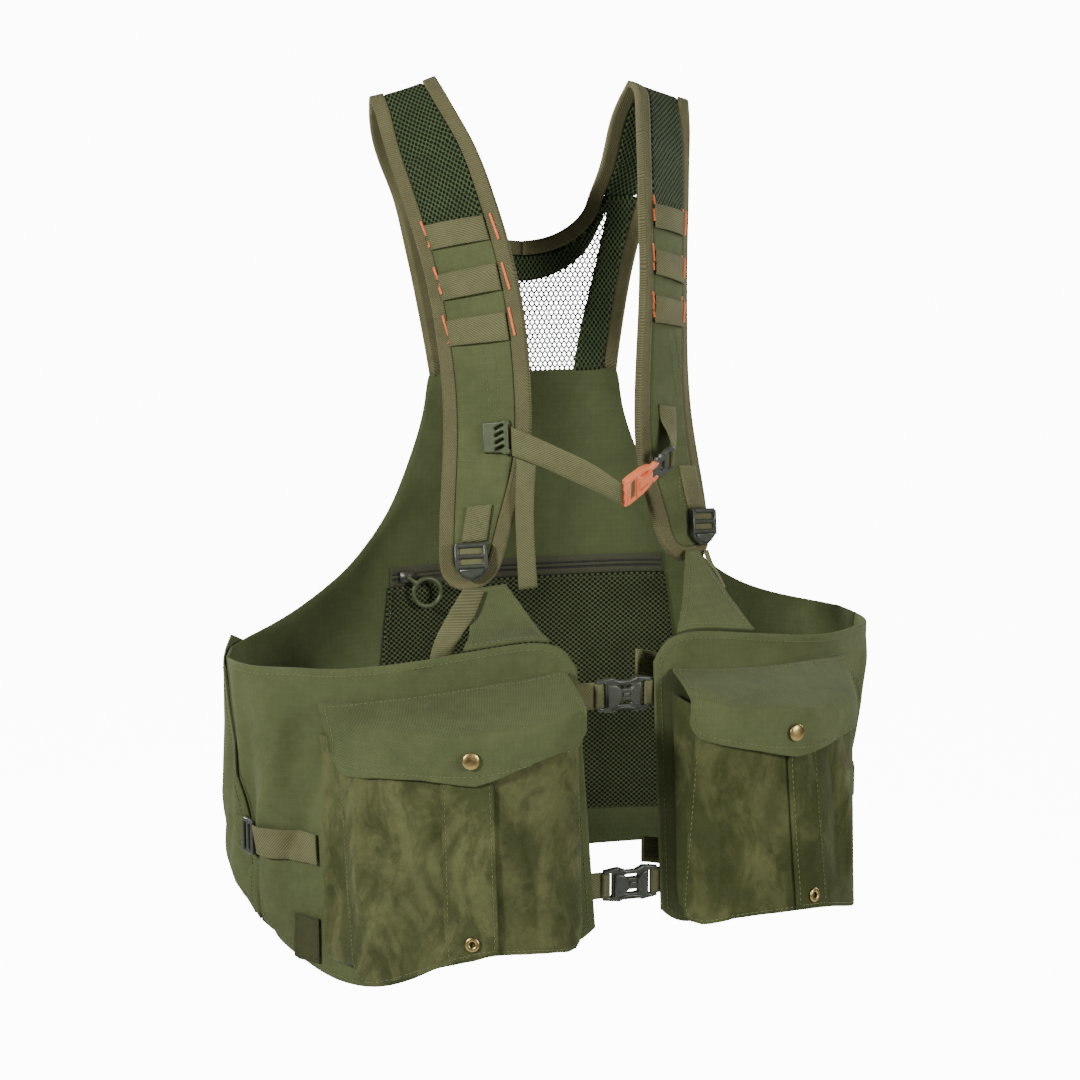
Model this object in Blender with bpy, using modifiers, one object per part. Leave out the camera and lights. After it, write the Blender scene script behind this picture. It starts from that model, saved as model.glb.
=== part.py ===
# Hunting vest: ripstop back and fronts, padded shoulder straps, a net yoke, two bellows
# pockets, a game pouch and webbing with buckles, filled out as if worn.
# Metres, +Z up, the wearer faces -Y and the wearer's left is +X.
# The origin lies between the shoulders, at the height of the strap crests.
# Tables hold millimetres and degrees, one row for each section, with their columns named.
import math

import bpy
import numpy as np
from mathutils import Matrix, Vector
from mathutils.bvhtree import BVHTree

MM = 0.001
SEAM_GAP = 0.4 * MM
LAYER_GAP = 0.6 * MM
PADDED_SEAM_GAP = 1.1 * MM

RIPSTOP_THICKNESS = 2.0 * MM
SUEDE_THICKNESS = 2.0 * MM
MESH_THICKNESS = 2.4 * MM
NET_THICKNESS = 1.2 * MM
STRAP_THICKNESS = 6.0 * MM
BINDING_THICKNESS = 5.0 * MM
BINDING_WIDTH = 9.6 * MM
WEBBING_THICKNESS = 1.6 * MM
FLAP_THICKNESS = 2.4 * MM
LABEL_THICKNESS = 1.2 * MM

# Plan of the lower vest: half ellipses behind and in front of one side line
HALF_WIDTH_COLUMNS = ("height", "right", "left")
HALF_WIDTH = (
    (-611, 243.5, 221), (-560, 245, 224), (-500, 247.2, 229), (-440, 249.4, 235), (-392, 251, 243),
)
SIDE_LINE_Y = -65 * MM
BACK_DEPTH = 95 * MM
FRONT_DEPTH_TOP = 127 * MM
FRONT_DEPTH_SLOPE = 0.10
RING_TOP = -370 * MM
SEAM_ANGLE_TOP = 90.0
SEAM_ANGLE_HEM = 104.0
SEAM_TOP_HEIGHT = -392 * MM
SEAM_HEM_HEIGHT = -577 * MM

# Soft folds: angle round the body, spread, depth outward, middle height, half height
FOLD_COLUMNS = ("angle", "spread", "depth", "height", "reach")
FOLDS = (
    (-120, 4.5, -5.0, -500, 95),
    (-110, 5.0, 4.5, -470, 110),
    (-99, 4.0, -3.0, -520, 60),
    (112, 5.0, 4.0, -480, 100),
    (121, 4.5, -4.5, -505, 90),
    (-38, 8.0, -3.0, -455, 110),
    (-8, 9.0, 2.5, -330, 90),
    (30, 8.0, -3.0, -470, 120),
    (52, 7.0, 2.5, -440, 90),
)

# Top edge of the back panel: share of the way from centre back to side seam, height
ARMHOLE_COLUMNS = ("share", "right", "left")
ARMHOLE = (
    (0.000, -204, -204), (0.060, -204, -204), (0.120, -204, -204), (0.176, -204, -204),
    (0.197, -204, -204), (0.203, -208.5, -208.5), (0.208, -227, -227), (0.220, -245, -245),
    (0.243, -268, -268), (0.272, -293, -291), (0.309, -314, -311), (0.346, -329, -331),
    (0.392, -345, -352), (0.443, -358, -366), (0.500, -368, -376), (0.562, -377, -382.5),
    (0.640, -383.5, -386.5), (0.725, -387, -388.5), (0.860, -389.5, -390), (1.000, -392, -392),
)

# Top edge of a front panel by angle, with the rounded corner at the front edge
FRONT_TOP_COLUMNS = ("angle", "height")
FRONT_TOP = (
    (90, -392), (98, -391), (105, -390), (112, -388.5), (119, -387), (126, -386.5),
    (133.5, -385), (142, -381), (150, -376), (157, -371.5), (163, -368), (166.5, -367),
    (169.5, -369.5), (171.5, -375), (173, -386),
)

# Hem all round by angle, on the wearer's right and left
HEM_COLUMNS = ("angle", "right", "left")
HEM = (
    (0, -592, -592), (25, -590, -590), (60, -577, -577), (85, -566, -568),
    (103, -577, -576), (118, -601, -588), (128, -611, -592), (135, -611, -590),
    (143, -601, -584), (151, -586, -576), (165, -581, -574), (169.5, -580, -573),
    (171.5, -577, -570), (174, -569, -562),
)

# Distance of each front edge from the middle, at the top and at the hem
FRONT_EDGE = {"right": (31, 22), "left": (26, 27)}

# Strap sections on its outer face, from the back seam over the shoulder to the front tip
STRAP_COLUMNS = ("neck_x", "neck_y", "neck_z", "arm_x", "arm_y", "arm_z")
STRAP_ROWS = (
    (54, 29, -70, 101, 28, -70),
    (60, 25, -50, 113, 24, -48),
    (63, 19, -27, 121, 19, -27),
    (67, 11, 2, 124.5, 13, -7),
    (80, -3, 22, 124, 5, 4),
    (73, -31, -3, 121, -8, -20),
    (65, -58, -30, 117, -17, -40),
    (59, -78, -61, 110, -35, -72),
    (54, -94, -90, 104, -49, -102),
    (50, -108, -120, 99, -62, -134),
    (46, -116, -156, 96, -71, -166),
    (43, -119, -195, 94, -79, -200),
    (42, -120, -230, 95, -86, -234),
    (44, -119, -256, 98, -92, -262),
    (51, -118, -281, 101, -97, -287),
    (58, -118, -306, 103, -101, -310),
    (64, -120, -328, 104, -104, -331),
    (70, -123, -350, 105, -108, -352),
)
STRAP_TIP_HEIGHT = {-1: -344 * MM, 1: -333 * MM}
STRAP_TIP_LENGTH = 25 * MM
STRAP_CAMBER = 1.5 * MM
CREST_DIP = 3.5 * MM
CREST_SPREAD = 40 * MM
TIP_TURNS = (0, 24, 46, 66)
STRAP_STATIONS = 22

# The yoke above the back panel: height and depth of its middle, bowed towards the arms
YOKE_COLUMNS = ("height", "depth")
YOKE_ROWS = ((-206, 30), (-170, 32.5), (-135, 34.5), (-100, 34), (-70, 31.5), (-50, 27))
YOKE_BOW = 0.70
YOKE_BOTTOM = -204 * MM + SEAM_GAP
YOKE_EDGE_COLUMNS = ("x", "z")
YOKE_ARM_EDGE = ((74.5, -203.6), (78, -180), (82, -157), (88, -125), (94, -100), (100.6, -70.8))
YOKE_NECK_EDGE = ((54.4, -70.8), (50, -81), (41, -91), (27, -99.5), (13, -103.5), (0.4, -104.5))
# Band of air mesh round the net: net side and outer side of each section
FRAME_COLUMNS = ("net_x", "net_z", "outer_x", "outer_z")
FRAME_ROWS = (
    (41, -203.6, 63.7, -203.6), (47, -173, 68.7, -173), (54, -147, 73.3, -147),
    (61, -119, 79.0, -119), (64.5, -102, 82.8, -98), (67.5, -88, 89.0, -72.6),
    (67.5, -82.0, 77.0, -72.6), (64.0, -83.5, 65.6, -72.8), (60, -95, 58.6, -87),
    (52, -110, 47.6, -99.6), (39, -122, 31.0, -110.0), (23, -130, 15.5, -114.4),
    (9, -133.5, 5.5, -115.6), (0, -134, 0, -115.8),
)
NET_INSET = 0.7 * MM

BAND_HEIGHTS = {"upper": (-93, -86), "middle": (-127, -119), "lower": (-160, -151)}
BAND_WIDTH = 19 * MM
BAND_LIFT = 1.6 * MM

# Pocket face in plan, from its outer edge to its inner edge, at the top and at the bottom
POCKET_COLUMNS = ("share", "top_x", "top_y", "bottom_x", "bottom_y")
POCKET_ROWS = (
    (0.00, 198, -168, 189, -183), (0.12, 188, -189, 181, -204), (0.30, 160, -211, 156, -229),
    (0.50, 122, -234, 122, -251), (0.72, 84, -243, 82, -253), (0.90, 54, -241, 48, -241),
    (1.00, 44, -233, 37, -225),
)
POCKET_HEIGHT_COLUMNS = ("share", "mouth", "right_bottom", "left_bottom", "right_root", "left_root", "flap_edge")
POCKET_HEIGHTS = (
    (0.00, -430, -597, -578, -410, -404, -446), (0.12, -427, -596, -577, -408, -403, -447.5),
    (0.25, -423, -586, -570, -405, -401, -448), (0.40, -420, -573, -561, -402, -400, -447),
    (0.52, -418, -565, -557, -399, -399, -446), (0.75, -413, -567, -558, -394, -396, -439),
    (0.90, -409, -571, -564, -391, -394, -433), (1.00, -406, -572, -568, -388, -392, -430),
)
# The outer end of each pocket and flap moved towards the middle, at the top and at the bottom
POCKET_TAKEN_IN = {"right": (4, 0), "left": (9, 2)}
FLAP_ROOT_OUTER = {"right": 197 * MM, "left": 192 * MM}
SNAP_SHARE = {"right": 0.52, "left": 0.575}
POCKET_CORNER = 0.09
POCKET_BASE_OUTER = 203 * MM
POCKET_BASE_INNER = 37 * MM
GUSSET_FOLD = 5 * MM
GUSSET_CORNER = 0.8 * MM
STRIP_SPANS = {"right": (0.42, 0.595, 0.41, 0.59), "left": (0.46, 0.60, 0.41, 0.565)}

# The game pouch behind the back: how far it stands off, by height share from its mouth
POUCH_TOP = -400 * MM
POUCH_CORNER_RISE = 18 * MM
POUCH_DEPTH = 21 * MM
POUCH_SQUARENESS = {-1: 4, 1: 4}
POUCH_COLUMNS = ("drop", "fullness")
POUCH_ROWS = ((0.0, 0.04), (0.25, 0.34), (0.55, 0.82), (0.78, 1.0), (0.90, 0.82), (0.97, 0.42), (1.0, 0.0))

ZIP_HALF_LENGTH = 112 * MM
ZIP_HEIGHT = -358.5 * MM
ZIP_TAPE_WIDTH = 15 * MM
ZIP_SLIDER_X = -98 * MM
MESH_POCKET_TOP_WIDTH = 114 * MM
MESH_POCKET_BOTTOM_WIDTH = 140 * MM
MESH_POCKET_BOTTOM = -560 * MM
RING_RADIUS = 11 * MM
RING_WIRE = 1.9 * MM
RING_NECK = 8.0 * MM

SIDES = (("right", -1.0), ("left", 1.0))

FINISHES = {
    "ripstop": ((0.085, 0.105, 0.043), 0.86, 0.0),
    "suede": ((0.075, 0.085, 0.030), 0.93, 0.0),
    "air_mesh": ((0.018, 0.040, 0.018), 0.80, 0.0),
    "net": ((0.014, 0.020, 0.012), 0.75, 0.0),
    "binding": ((0.105, 0.098, 0.048), 0.82, 0.0),
    "webbing": ((0.125, 0.120, 0.060), 0.80, 0.0),
    "orange_plastic": ((0.80, 0.165, 0.070), 0.42, 0.0),
    "grey_plastic": ((0.060, 0.064, 0.060), 0.42, 0.0),
    "olive_plastic": ((0.075, 0.090, 0.040), 0.45, 0.0),
    "brass": ((0.42, 0.30, 0.14), 0.38, 1.0),
    "zip": ((0.060, 0.052, 0.042), 0.65, 0.0),
}


def clear_scene():
    for item in list(bpy.data.objects):
        bpy.data.objects.remove(item, do_unlink=True)


def new_collection(title):
    collection = bpy.data.collections.new(title)
    bpy.context.scene.collection.children.link(collection)
    return collection


def finish_material(name):
    material = bpy.data.materials.get(name)
    if material:
        return material
    colour, roughness, metallic = FINISHES[name]
    material = bpy.data.materials.new(name)
    material.use_nodes = True
    shader = material.node_tree.nodes["Principled BSDF"]
    shader.inputs["Base Color"].default_value = (*colour, 1.0)
    shader.inputs["Roughness"].default_value = roughness
    shader.inputs["Metallic"].default_value = metallic
    return material


def column(table, columns, name):
    return np.array([row[columns.index(name)] for row in table], float)


def smooth(position, places, values):
    # a cubic through the table's rows, with the slope at each row from its neighbours
    places = np.asarray(places, float)
    values = np.asarray(values, float)
    slopes = np.gradient(values, places, axis=0)
    position = np.clip(np.asarray(position, float), places[0], places[-1])
    index = np.clip(np.searchsorted(places, position, side="right") - 1, 0, len(places) - 2)
    span = places[index + 1] - places[index]
    t = (position - places[index]) / span
    if values.ndim > 1:
        t, span = t[..., None], span[..., None]
    start = (2 * t**3 - 3 * t**2 + 1) * values[index] + (t**3 - 2 * t**2 + t) * span * slopes[index]
    end = (3 * t**2 - 2 * t**3) * values[index + 1] + (t**3 - t**2) * span * slopes[index + 1]
    return start + end


def unit(vectors):
    return vectors / np.maximum(np.linalg.norm(vectors, axis=-1, keepdims=True), 1e-12)


def grid_normals(points, away_from):
    # unit normals of a grid of points, turned away from the given point
    normals = unit(np.cross(np.gradient(points, axis=0), np.gradient(points, axis=1)))
    towards = np.sum(normals * (points - np.asarray(away_from)), axis=-1, keepdims=True)
    return normals * np.where(towards < 0, -1.0, 1.0)


BODY_CENTRE = (0.0, -0.075, -0.45)


def moved_out(points, distance, away_from=BODY_CENTRE):
    return points + grid_normals(points, away_from) * distance


def place(item, finish):
    item.data.materials.clear()
    item.data.materials.append(finish_material(finish))
    VEST.objects.link(item)
    return item


def sheet(name, points, thickness, finish):
    # an open grid of points, the middle of the cloth, given its thickness by Solidify
    rows, across = points.shape[:2]
    faces = [
        (r * across + c, r * across + c + 1, (r + 1) * across + c + 1, (r + 1) * across + c)
        for r in range(rows - 1) for c in range(across - 1)
    ]
    mesh = bpy.data.meshes.new(name)
    mesh.from_pydata([tuple(p) for p in points.reshape(-1, 3)], [], faces)
    mesh.shade_smooth()
    mesh.update()
    item = place(bpy.data.objects.new(name, mesh), finish)
    cloth = item.modifiers.new("cloth", "SOLIDIFY")
    cloth.thickness = thickness
    cloth.offset = 0.0
    return item


def turned(name, profile, steps, matrix, finish, closed=False):
    # a profile of (radius, height) points turned round the local Z axis
    count = len(profile)
    edges = [(i, i + 1) for i in range(count - 1)]
    if closed:
        edges.append((count - 1, 0))
    mesh = bpy.data.meshes.new(name)
    mesh.from_pydata([(radius * MM, 0.0, height * MM) for radius, height in profile], edges, [])
    item = place(bpy.data.objects.new(name, mesh), finish)
    item.matrix_world = matrix
    screw = item.modifiers.new("turn", "SCREW")
    screw.steps = steps
    screw.render_steps = steps
    screw.use_merge_vertices = True
    screw.merge_threshold = 0.00001
    screw.use_normal_calculate = True
    return item


def plate(name, outlines, thickness, matrix, finish):
    # a flat plate cut to its outline, with the windows given as further outlines
    curve = bpy.data.curves.new(name, "CURVE")
    curve.dimensions = "2D"
    curve.fill_mode = "BOTH"
    curve.extrude = thickness / 2
    for outline in outlines:
        spline = curve.splines.new("POLY")
        spline.points.add(len(outline) - 1)
        for point, (x, y) in zip(spline.points, outline):
            point.co = (x * MM, y * MM, 0.0, 1.0)
        spline.use_cyclic_u = True
    item = place(bpy.data.objects.new(name, curve), finish)
    item.matrix_world = matrix
    return item


def rounded_box(width, height, radius, centre=(0.0, 0.0), steps=2):
    # outline of a rectangle with round corners, in millimetres
    outline = []
    for turn, (sx, sy) in enumerate(((1, 1), (-1, 1), (-1, -1), (1, -1))):
        for step in range(steps + 1):
            angle = math.radians(90 * turn + 90 * step / steps)
            outline.append((centre[0] + sx * (width / 2 - radius) + radius * math.cos(angle),
                            centre[1] + sy * (height / 2 - radius) + radius * math.sin(angle)))
    return outline


def frame_matrix(origin, across, normal):
    # local X runs across, local Z stands out of the surface
    z_axis = Vector(normal).normalized()
    x_axis = Vector(across)
    x_axis = (x_axis - z_axis * x_axis.dot(z_axis)).normalized()
    y_axis = z_axis.cross(x_axis)
    rotation = Matrix((x_axis, y_axis, z_axis)).transposed().to_4x4()
    return Matrix.Translation(Vector(origin)) @ rotation


def half_width(height, angle):
    places = column(HALF_WIDTH, HALF_WIDTH_COLUMNS, "height")
    right = smooth(height / MM, places, column(HALF_WIDTH, HALF_WIDTH_COLUMNS, "right"))
    left = smooth(height / MM, places, column(HALF_WIDTH, HALF_WIDTH_COLUMNS, "left"))
    return MM * np.where(np.asarray(angle) < 0, right, left)


def front_depth(height):
    return FRONT_DEPTH_TOP + FRONT_DEPTH_SLOPE * np.clip(RING_TOP - height, 0.0, 0.21)


def fold_relief(angle, height):
    relief = np.zeros(np.broadcast(angle, height).shape)
    for row in FOLDS:
        fold = dict(zip(FOLD_COLUMNS, row))
        sideways = (angle - fold["angle"]) / fold["spread"]
        along = (height / MM - fold["height"]) / fold["reach"]
        relief = relief + fold["depth"] * MM * np.exp(-sideways**2) * np.exp(-along**4)
    return relief


def body(angle, height):
    # a point of the lower vest: 0 degrees is centre back, 180 centre front, + the wearer's left
    angle, height = np.broadcast_arrays(np.asarray(angle, float), np.asarray(height, float))
    turn = np.radians(angle)
    depth = np.where(np.cos(turn) >= 0, BACK_DEPTH, front_depth(height))
    relief = fold_relief(angle, height)
    x = (half_width(height, angle) + relief) * np.sin(turn)
    y = SIDE_LINE_Y + depth * np.cos(turn) + relief * np.cos(turn)
    return np.stack([x, y, height], axis=-1)


def angle_at(sign, x, height):
    # angle on the front half of the body that lies at the distance x from the middle
    return 180.0 - np.degrees(np.arcsin(np.clip(x / half_width(height, sign), -1.0, 1.0)))


def back_angle(x, height):
    return np.degrees(np.arcsin(x / half_width(height, x)))


def front_point(sign, x, height):
    return body(sign * angle_at(sign, x, height), height)


def ring_outward(points):
    # direction out of the body's ring at points of its front half
    around = points[..., 0] / 0.247**2
    ahead = (points[..., 1] - SIDE_LINE_Y) / 0.135**2
    return unit(np.stack([around, ahead, np.zeros_like(around)], axis=-1))


def seam_angle(height):
    share = (SEAM_TOP_HEIGHT - np.asarray(height, float)) / (SEAM_TOP_HEIGHT - SEAM_HEM_HEIGHT)
    return SEAM_ANGLE_TOP + (SEAM_ANGLE_HEM - SEAM_ANGLE_TOP) * np.clip(share, 0.0, 1.15)


def hem_height(side, angle):
    return MM * smooth(np.abs(angle), column(HEM, HEM_COLUMNS, "angle"), column(HEM, HEM_COLUMNS, side))


def hem_all_round(angle):
    return np.where(np.asarray(angle) < 0, hem_height("right", angle), hem_height("left", angle))


def back_grid(shares, top, bottom, rows, seam_margin):
    # grid over the back, from one side seam to the other; the margin is in degrees
    drop = np.linspace(0.0, 1.0, rows)[:, None]
    height = top[None, :] + drop * (bottom - top)[None, :]
    angle = shares[None, :] * (seam_angle(height) - seam_margin)
    return body(angle, height)


def armhole_height(shares):
    places = column(ARMHOLE, ARMHOLE_COLUMNS, "share")
    right = np.interp(np.abs(shares), places, column(ARMHOLE, ARMHOLE_COLUMNS, "right"))
    left = np.interp(np.abs(shares), places, column(ARMHOLE, ARMHOLE_COLUMNS, "left"))
    return MM * np.where(np.asarray(shares) < 0, right, left)


def build_back_panel():
    places = column(ARMHOLE, ARMHOLE_COLUMNS, "share")
    shares = np.concatenate([-places[:0:-1], places])
    bottom = hem_all_round(shares * SEAM_ANGLE_HEM)
    points = back_grid(shares, armhole_height(shares), bottom, 9, 0.25)
    sheet("back_panel", points, RIPSTOP_THICKNESS, "ripstop")


def pouch_top(shares):
    # the mouth, with its corner left standing open beside the right side seam
    return POUCH_TOP + POUCH_CORNER_RISE * np.exp(-(((shares + 0.82) / 0.10) ** 2))


def pouch_bottom(shares):
    return hem_all_round(shares * SEAM_ANGLE_HEM) + 3 * MM


def pouch_surface(shares, heights, lift=0.0):
    # middle of the pouch cloth; shares run from one side seam to the other
    top, bottom = pouch_top(shares), pouch_bottom(shares)
    drop = np.clip((top - heights) / (top - bottom), 0.0, 1.0)
    angle = shares * (seam_angle(heights) - 0.45)
    fullness = smooth(drop, column(POUCH_ROWS, POUCH_COLUMNS, "drop"),
                      column(POUCH_ROWS, POUCH_COLUMNS, "fullness"))
    squareness = np.where(shares < 0, POUCH_SQUARENESS[-1], POUCH_SQUARENESS[1])
    swell = POUCH_DEPTH * fullness * (1 - np.abs(shares) ** squareness)
    base = body(angle, heights)
    stand_off = RIPSTOP_THICKNESS + LAYER_GAP + swell + lift
    return base + grid_normals(base, BODY_CENTRE) * stand_off[..., None]


def build_game_pouch():
    shares = np.sin(np.radians(np.linspace(-90, 90, 27)))[None, :]
    drop = np.array([0.0, 0.3, 0.55, 0.75, 0.88, 0.96, 1.0])[:, None]
    heights = pouch_top(shares) + drop * (pouch_bottom(shares) - pouch_top(shares))
    shares = np.broadcast_to(shares, heights.shape)
    sheet("game_pouch", pouch_surface(shares, heights), RIPSTOP_THICKNESS, "ripstop")


def front_grid(side, sign):
    shares = np.concatenate([np.linspace(0.0, 0.84, 13), [0.895, 0.935, 0.965, 0.985, 1.0]])
    rows = 10
    edge_top, edge_hem = FRONT_EDGE[side]
    places = column(FRONT_TOP, FRONT_TOP_COLUMNS, "angle")
    heights = column(FRONT_TOP, FRONT_TOP_COLUMNS, "height")
    grid = np.zeros((rows, len(shares), 3))
    for index, share in enumerate(shares):
        start = SEAM_ANGLE_TOP + 0.25
        rough = start + share * (173.0 - start)
        top = MM * smooth(rough, places, heights)
        bottom_start = SEAM_ANGLE_HEM + 0.25
        bottom = hem_height(side, bottom_start + share * (174.0 - bottom_start))
        for row in range(rows):
            height = top + (bottom - top) * row / (rows - 1)
            level = np.clip((height - RING_TOP) / (SEAM_HEM_HEIGHT - RING_TOP), 0.0, 1.0)
            edge = angle_at(sign, (edge_top + (edge_hem - edge_top) * level) * MM, height)
            rear = seam_angle(height) + 0.25
            grid[row, index] = body(sign * (rear + share * (edge - rear)), height)
    return grid


def front_top_height(angle):
    return MM * smooth(angle, column(FRONT_TOP, FRONT_TOP_COLUMNS, "angle"),
                       column(FRONT_TOP, FRONT_TOP_COLUMNS, "height"))


def build_front_panels():
    for side, sign in SIDES:
        panel = sheet(f"front_panel_{side}", front_grid(side, sign), RIPSTOP_THICKNESS, "ripstop")
        corners = [vertex.co.copy() for vertex in panel.data.vertices]
        PANELS[side] = BVHTree.FromPolygons(corners, [tuple(face.vertices) for face in panel.data.polygons])


def laid_on(side, points, lift):
    # the points moved to the front panel's own cloth, then off its middle by the lift
    points = np.asarray(points, float)
    flat = points.reshape(-1, 3)
    found = np.array([tuple(PANELS[side].find_nearest(Vector(point))[0]) for point in flat])
    return (found + ring_outward(found) * lift).reshape(points.shape)


class Strap:
    # one shoulder strap: a curved band between its neck edge and its arm edge
    def __init__(self, sign):
        rows = np.array(STRAP_ROWS, float) * MM
        rows[:, 0] *= sign
        rows[:, 3] *= sign
        places = np.arange(len(rows), dtype=float)
        dense = smooth(np.linspace(0, len(rows) - 1, 341), places, rows)
        self.neck, self.arm = dense[:, :3], dense[:, 3:]
        self.centre = (self.neck + self.arm) / 2
        steps = np.linalg.norm(np.diff(self.centre, axis=0), axis=1)
        self.length = np.concatenate([[0.0], np.cumsum(steps)])
        self.crest = self.length[np.argmax(self.centre[:, 2])]
        self.tip = self.station(STRAP_TIP_HEIGHT[int(sign)])
        self.shoulder_of_tip = self.tip - STRAP_TIP_LENGTH

    def station(self, height):
        # distance along the strap, in front of the crest, at which its middle has this height
        front = self.length > self.length[np.argmax(self.centre[:, 2])]
        return float(np.interp(-height, -self.centre[front, 2], self.length[front]))

    def along(self, values, distance):
        return np.stack([np.interp(distance, self.length, values[:, k]) for k in range(3)], axis=-1)

    def half(self, distance):
        return np.linalg.norm(self.along(self.arm, distance) - self.along(self.neck, distance), axis=-1) / 2

    def directions(self, distance):
        # unit vectors: across to the arm side, along towards the tip, and out of the strap
        distance = np.asarray(distance, float)
        across = unit(self.along(self.arm, distance) - self.along(self.neck, distance))
        along = unit(self.along(self.centre, distance + 4 * MM) - self.along(self.centre, distance - 4 * MM))
        out = unit(np.cross(across, along))
        inside = np.array([0.0, 0.05, -0.17])
        outward = np.sum(out * (self.along(self.centre, distance) - inside), axis=-1, keepdims=True)
        return across, along, out * np.where(outward < 0, -1.0, 1.0)

    def point(self, distance, offset, lift=0.0):
        # offset runs from the middle towards the arm side, lift stands out of the strap
        distance, offset = np.broadcast_arrays(np.asarray(distance, float), np.asarray(offset, float))
        across, _, out = self.directions(distance)
        half = self.half(distance)
        share = np.clip(np.abs(offset) / half, 0.0, 1.2)
        dip = CREST_DIP * np.exp(-((distance - self.crest) / CREST_SPREAD) ** 2)
        rise = (STRAP_CAMBER - dip) * (1 - share**2) + lift - STRAP_THICKNESS / 2
        return self.along(self.centre, distance) + across * offset[..., None] + out * rise[..., None]

    def outline(self, inset):
        # edge of the strap moved in, from the neck side round the tip to the arm side
        straight = np.linspace(SEAM_GAP, self.shoulder_of_tip, STRAP_STATIONS)[:-1]
        stations = [(s, -(self.half(s) - inset)) for s in straight]
        base = self.half(self.shoulder_of_tip) - inset
        reach = STRAP_TIP_LENGTH - inset
        for turn in TIP_TURNS:
            angle = math.radians(turn)
            stations.append((self.shoulder_of_tip + reach * math.sin(angle), -base * math.cos(angle)))
        mirrored = [(s, -q) for s, q in reversed(stations)]
        last = math.sin(math.radians(TIP_TURNS[-1] if inset else 90))
        middle = [(self.shoulder_of_tip + reach * last, 0.0)]
        both = np.array(stations + middle + mirrored)
        return self.point(both[:, 0], both[:, 1])

    def core_grid(self, across_count=5, lift=0.0):
        inset = BINDING_WIDTH + PADDED_SEAM_GAP
        stations = list(np.linspace(SEAM_GAP, self.shoulder_of_tip, STRAP_STATIONS))
        halves = [float(self.half(s)) - inset for s in stations]
        base = halves[-1]
        reach = STRAP_TIP_LENGTH - inset
        for turn in TIP_TURNS[1:]:
            angle = math.radians(turn)
            stations.append(self.shoulder_of_tip + reach * math.sin(angle))
            halves.append(base * math.cos(angle))
        shares = np.linspace(-1, 1, across_count)
        return np.array([[self.point(s, share * half, lift) for share in shares]
                         for s, half in zip(stations, halves)])


def yoke_point(x, z):
    places = column(YOKE_ROWS, YOKE_COLUMNS, "height") * MM
    depth = smooth(z, places, column(YOKE_ROWS, YOKE_COLUMNS, "depth") * MM)
    return np.stack([x, depth - YOKE_BOW * np.asarray(x) ** 2, z], axis=-1)


def resample(points, count):
    steps = np.linalg.norm(np.diff(points, axis=0), axis=1)
    length = np.concatenate([[0.0], np.cumsum(steps)])
    return smooth(np.linspace(0, length[-1], count), length, points)


def yoke_edge(table, count, sign):
    flat = resample(np.array(table, float) * MM, count)
    return yoke_point(sign * flat[:, 0], flat[:, 1])


def inward_edge(edge, target, width):
    # the edge moved in across the cloth, towards the target point
    along = unit(np.gradient(edge, axis=0))
    out = unit(edge * np.array([0.25, 1.0, 0.0]) + np.array([0.0, 0.01, 0.0]))
    inward = unit(np.cross(out, along))
    towards = np.sum(inward * (np.asarray(target) - edge), axis=-1, keepdims=True)
    return edge + inward * np.where(towards < 0, -1.0, 1.0) * width


def build_straps():
    for side, sign in SIDES:
        strap = STRAPS[side]
        sheet(f"strap_{side}", strap.core_grid(), STRAP_THICKNESS, "air_mesh")
        arm_edge = yoke_edge(YOKE_ARM_EDGE, 8, sign)
        neck_edge = yoke_edge(YOKE_NECK_EDGE, 8, sign)
        arm_inner = inward_edge(arm_edge, (sign * 0.05, 0.03, -0.14), BINDING_WIDTH)
        neck_inner = inward_edge(neck_edge, (sign * 0.03, 0.03, -0.2), BINDING_WIDTH)
        outer = np.concatenate([neck_edge[::-1][:-1], strap.outline(0.0), arm_edge[::-1][1:]])
        inner = np.concatenate([neck_inner[::-1][:-1], strap.outline(BINDING_WIDTH), arm_inner[::-1][1:]])
        grid = np.stack([outer, (outer + inner) / 2, inner])
        sheet(f"binding_{side}", grid, BINDING_THICKNESS, "binding")


def frame_half(points_per_side):
    rows = np.array(FRAME_ROWS, float) * MM
    places = np.arange(len(rows), dtype=float)
    return smooth(np.linspace(0, len(rows) - 1, points_per_side), places, rows)


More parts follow.
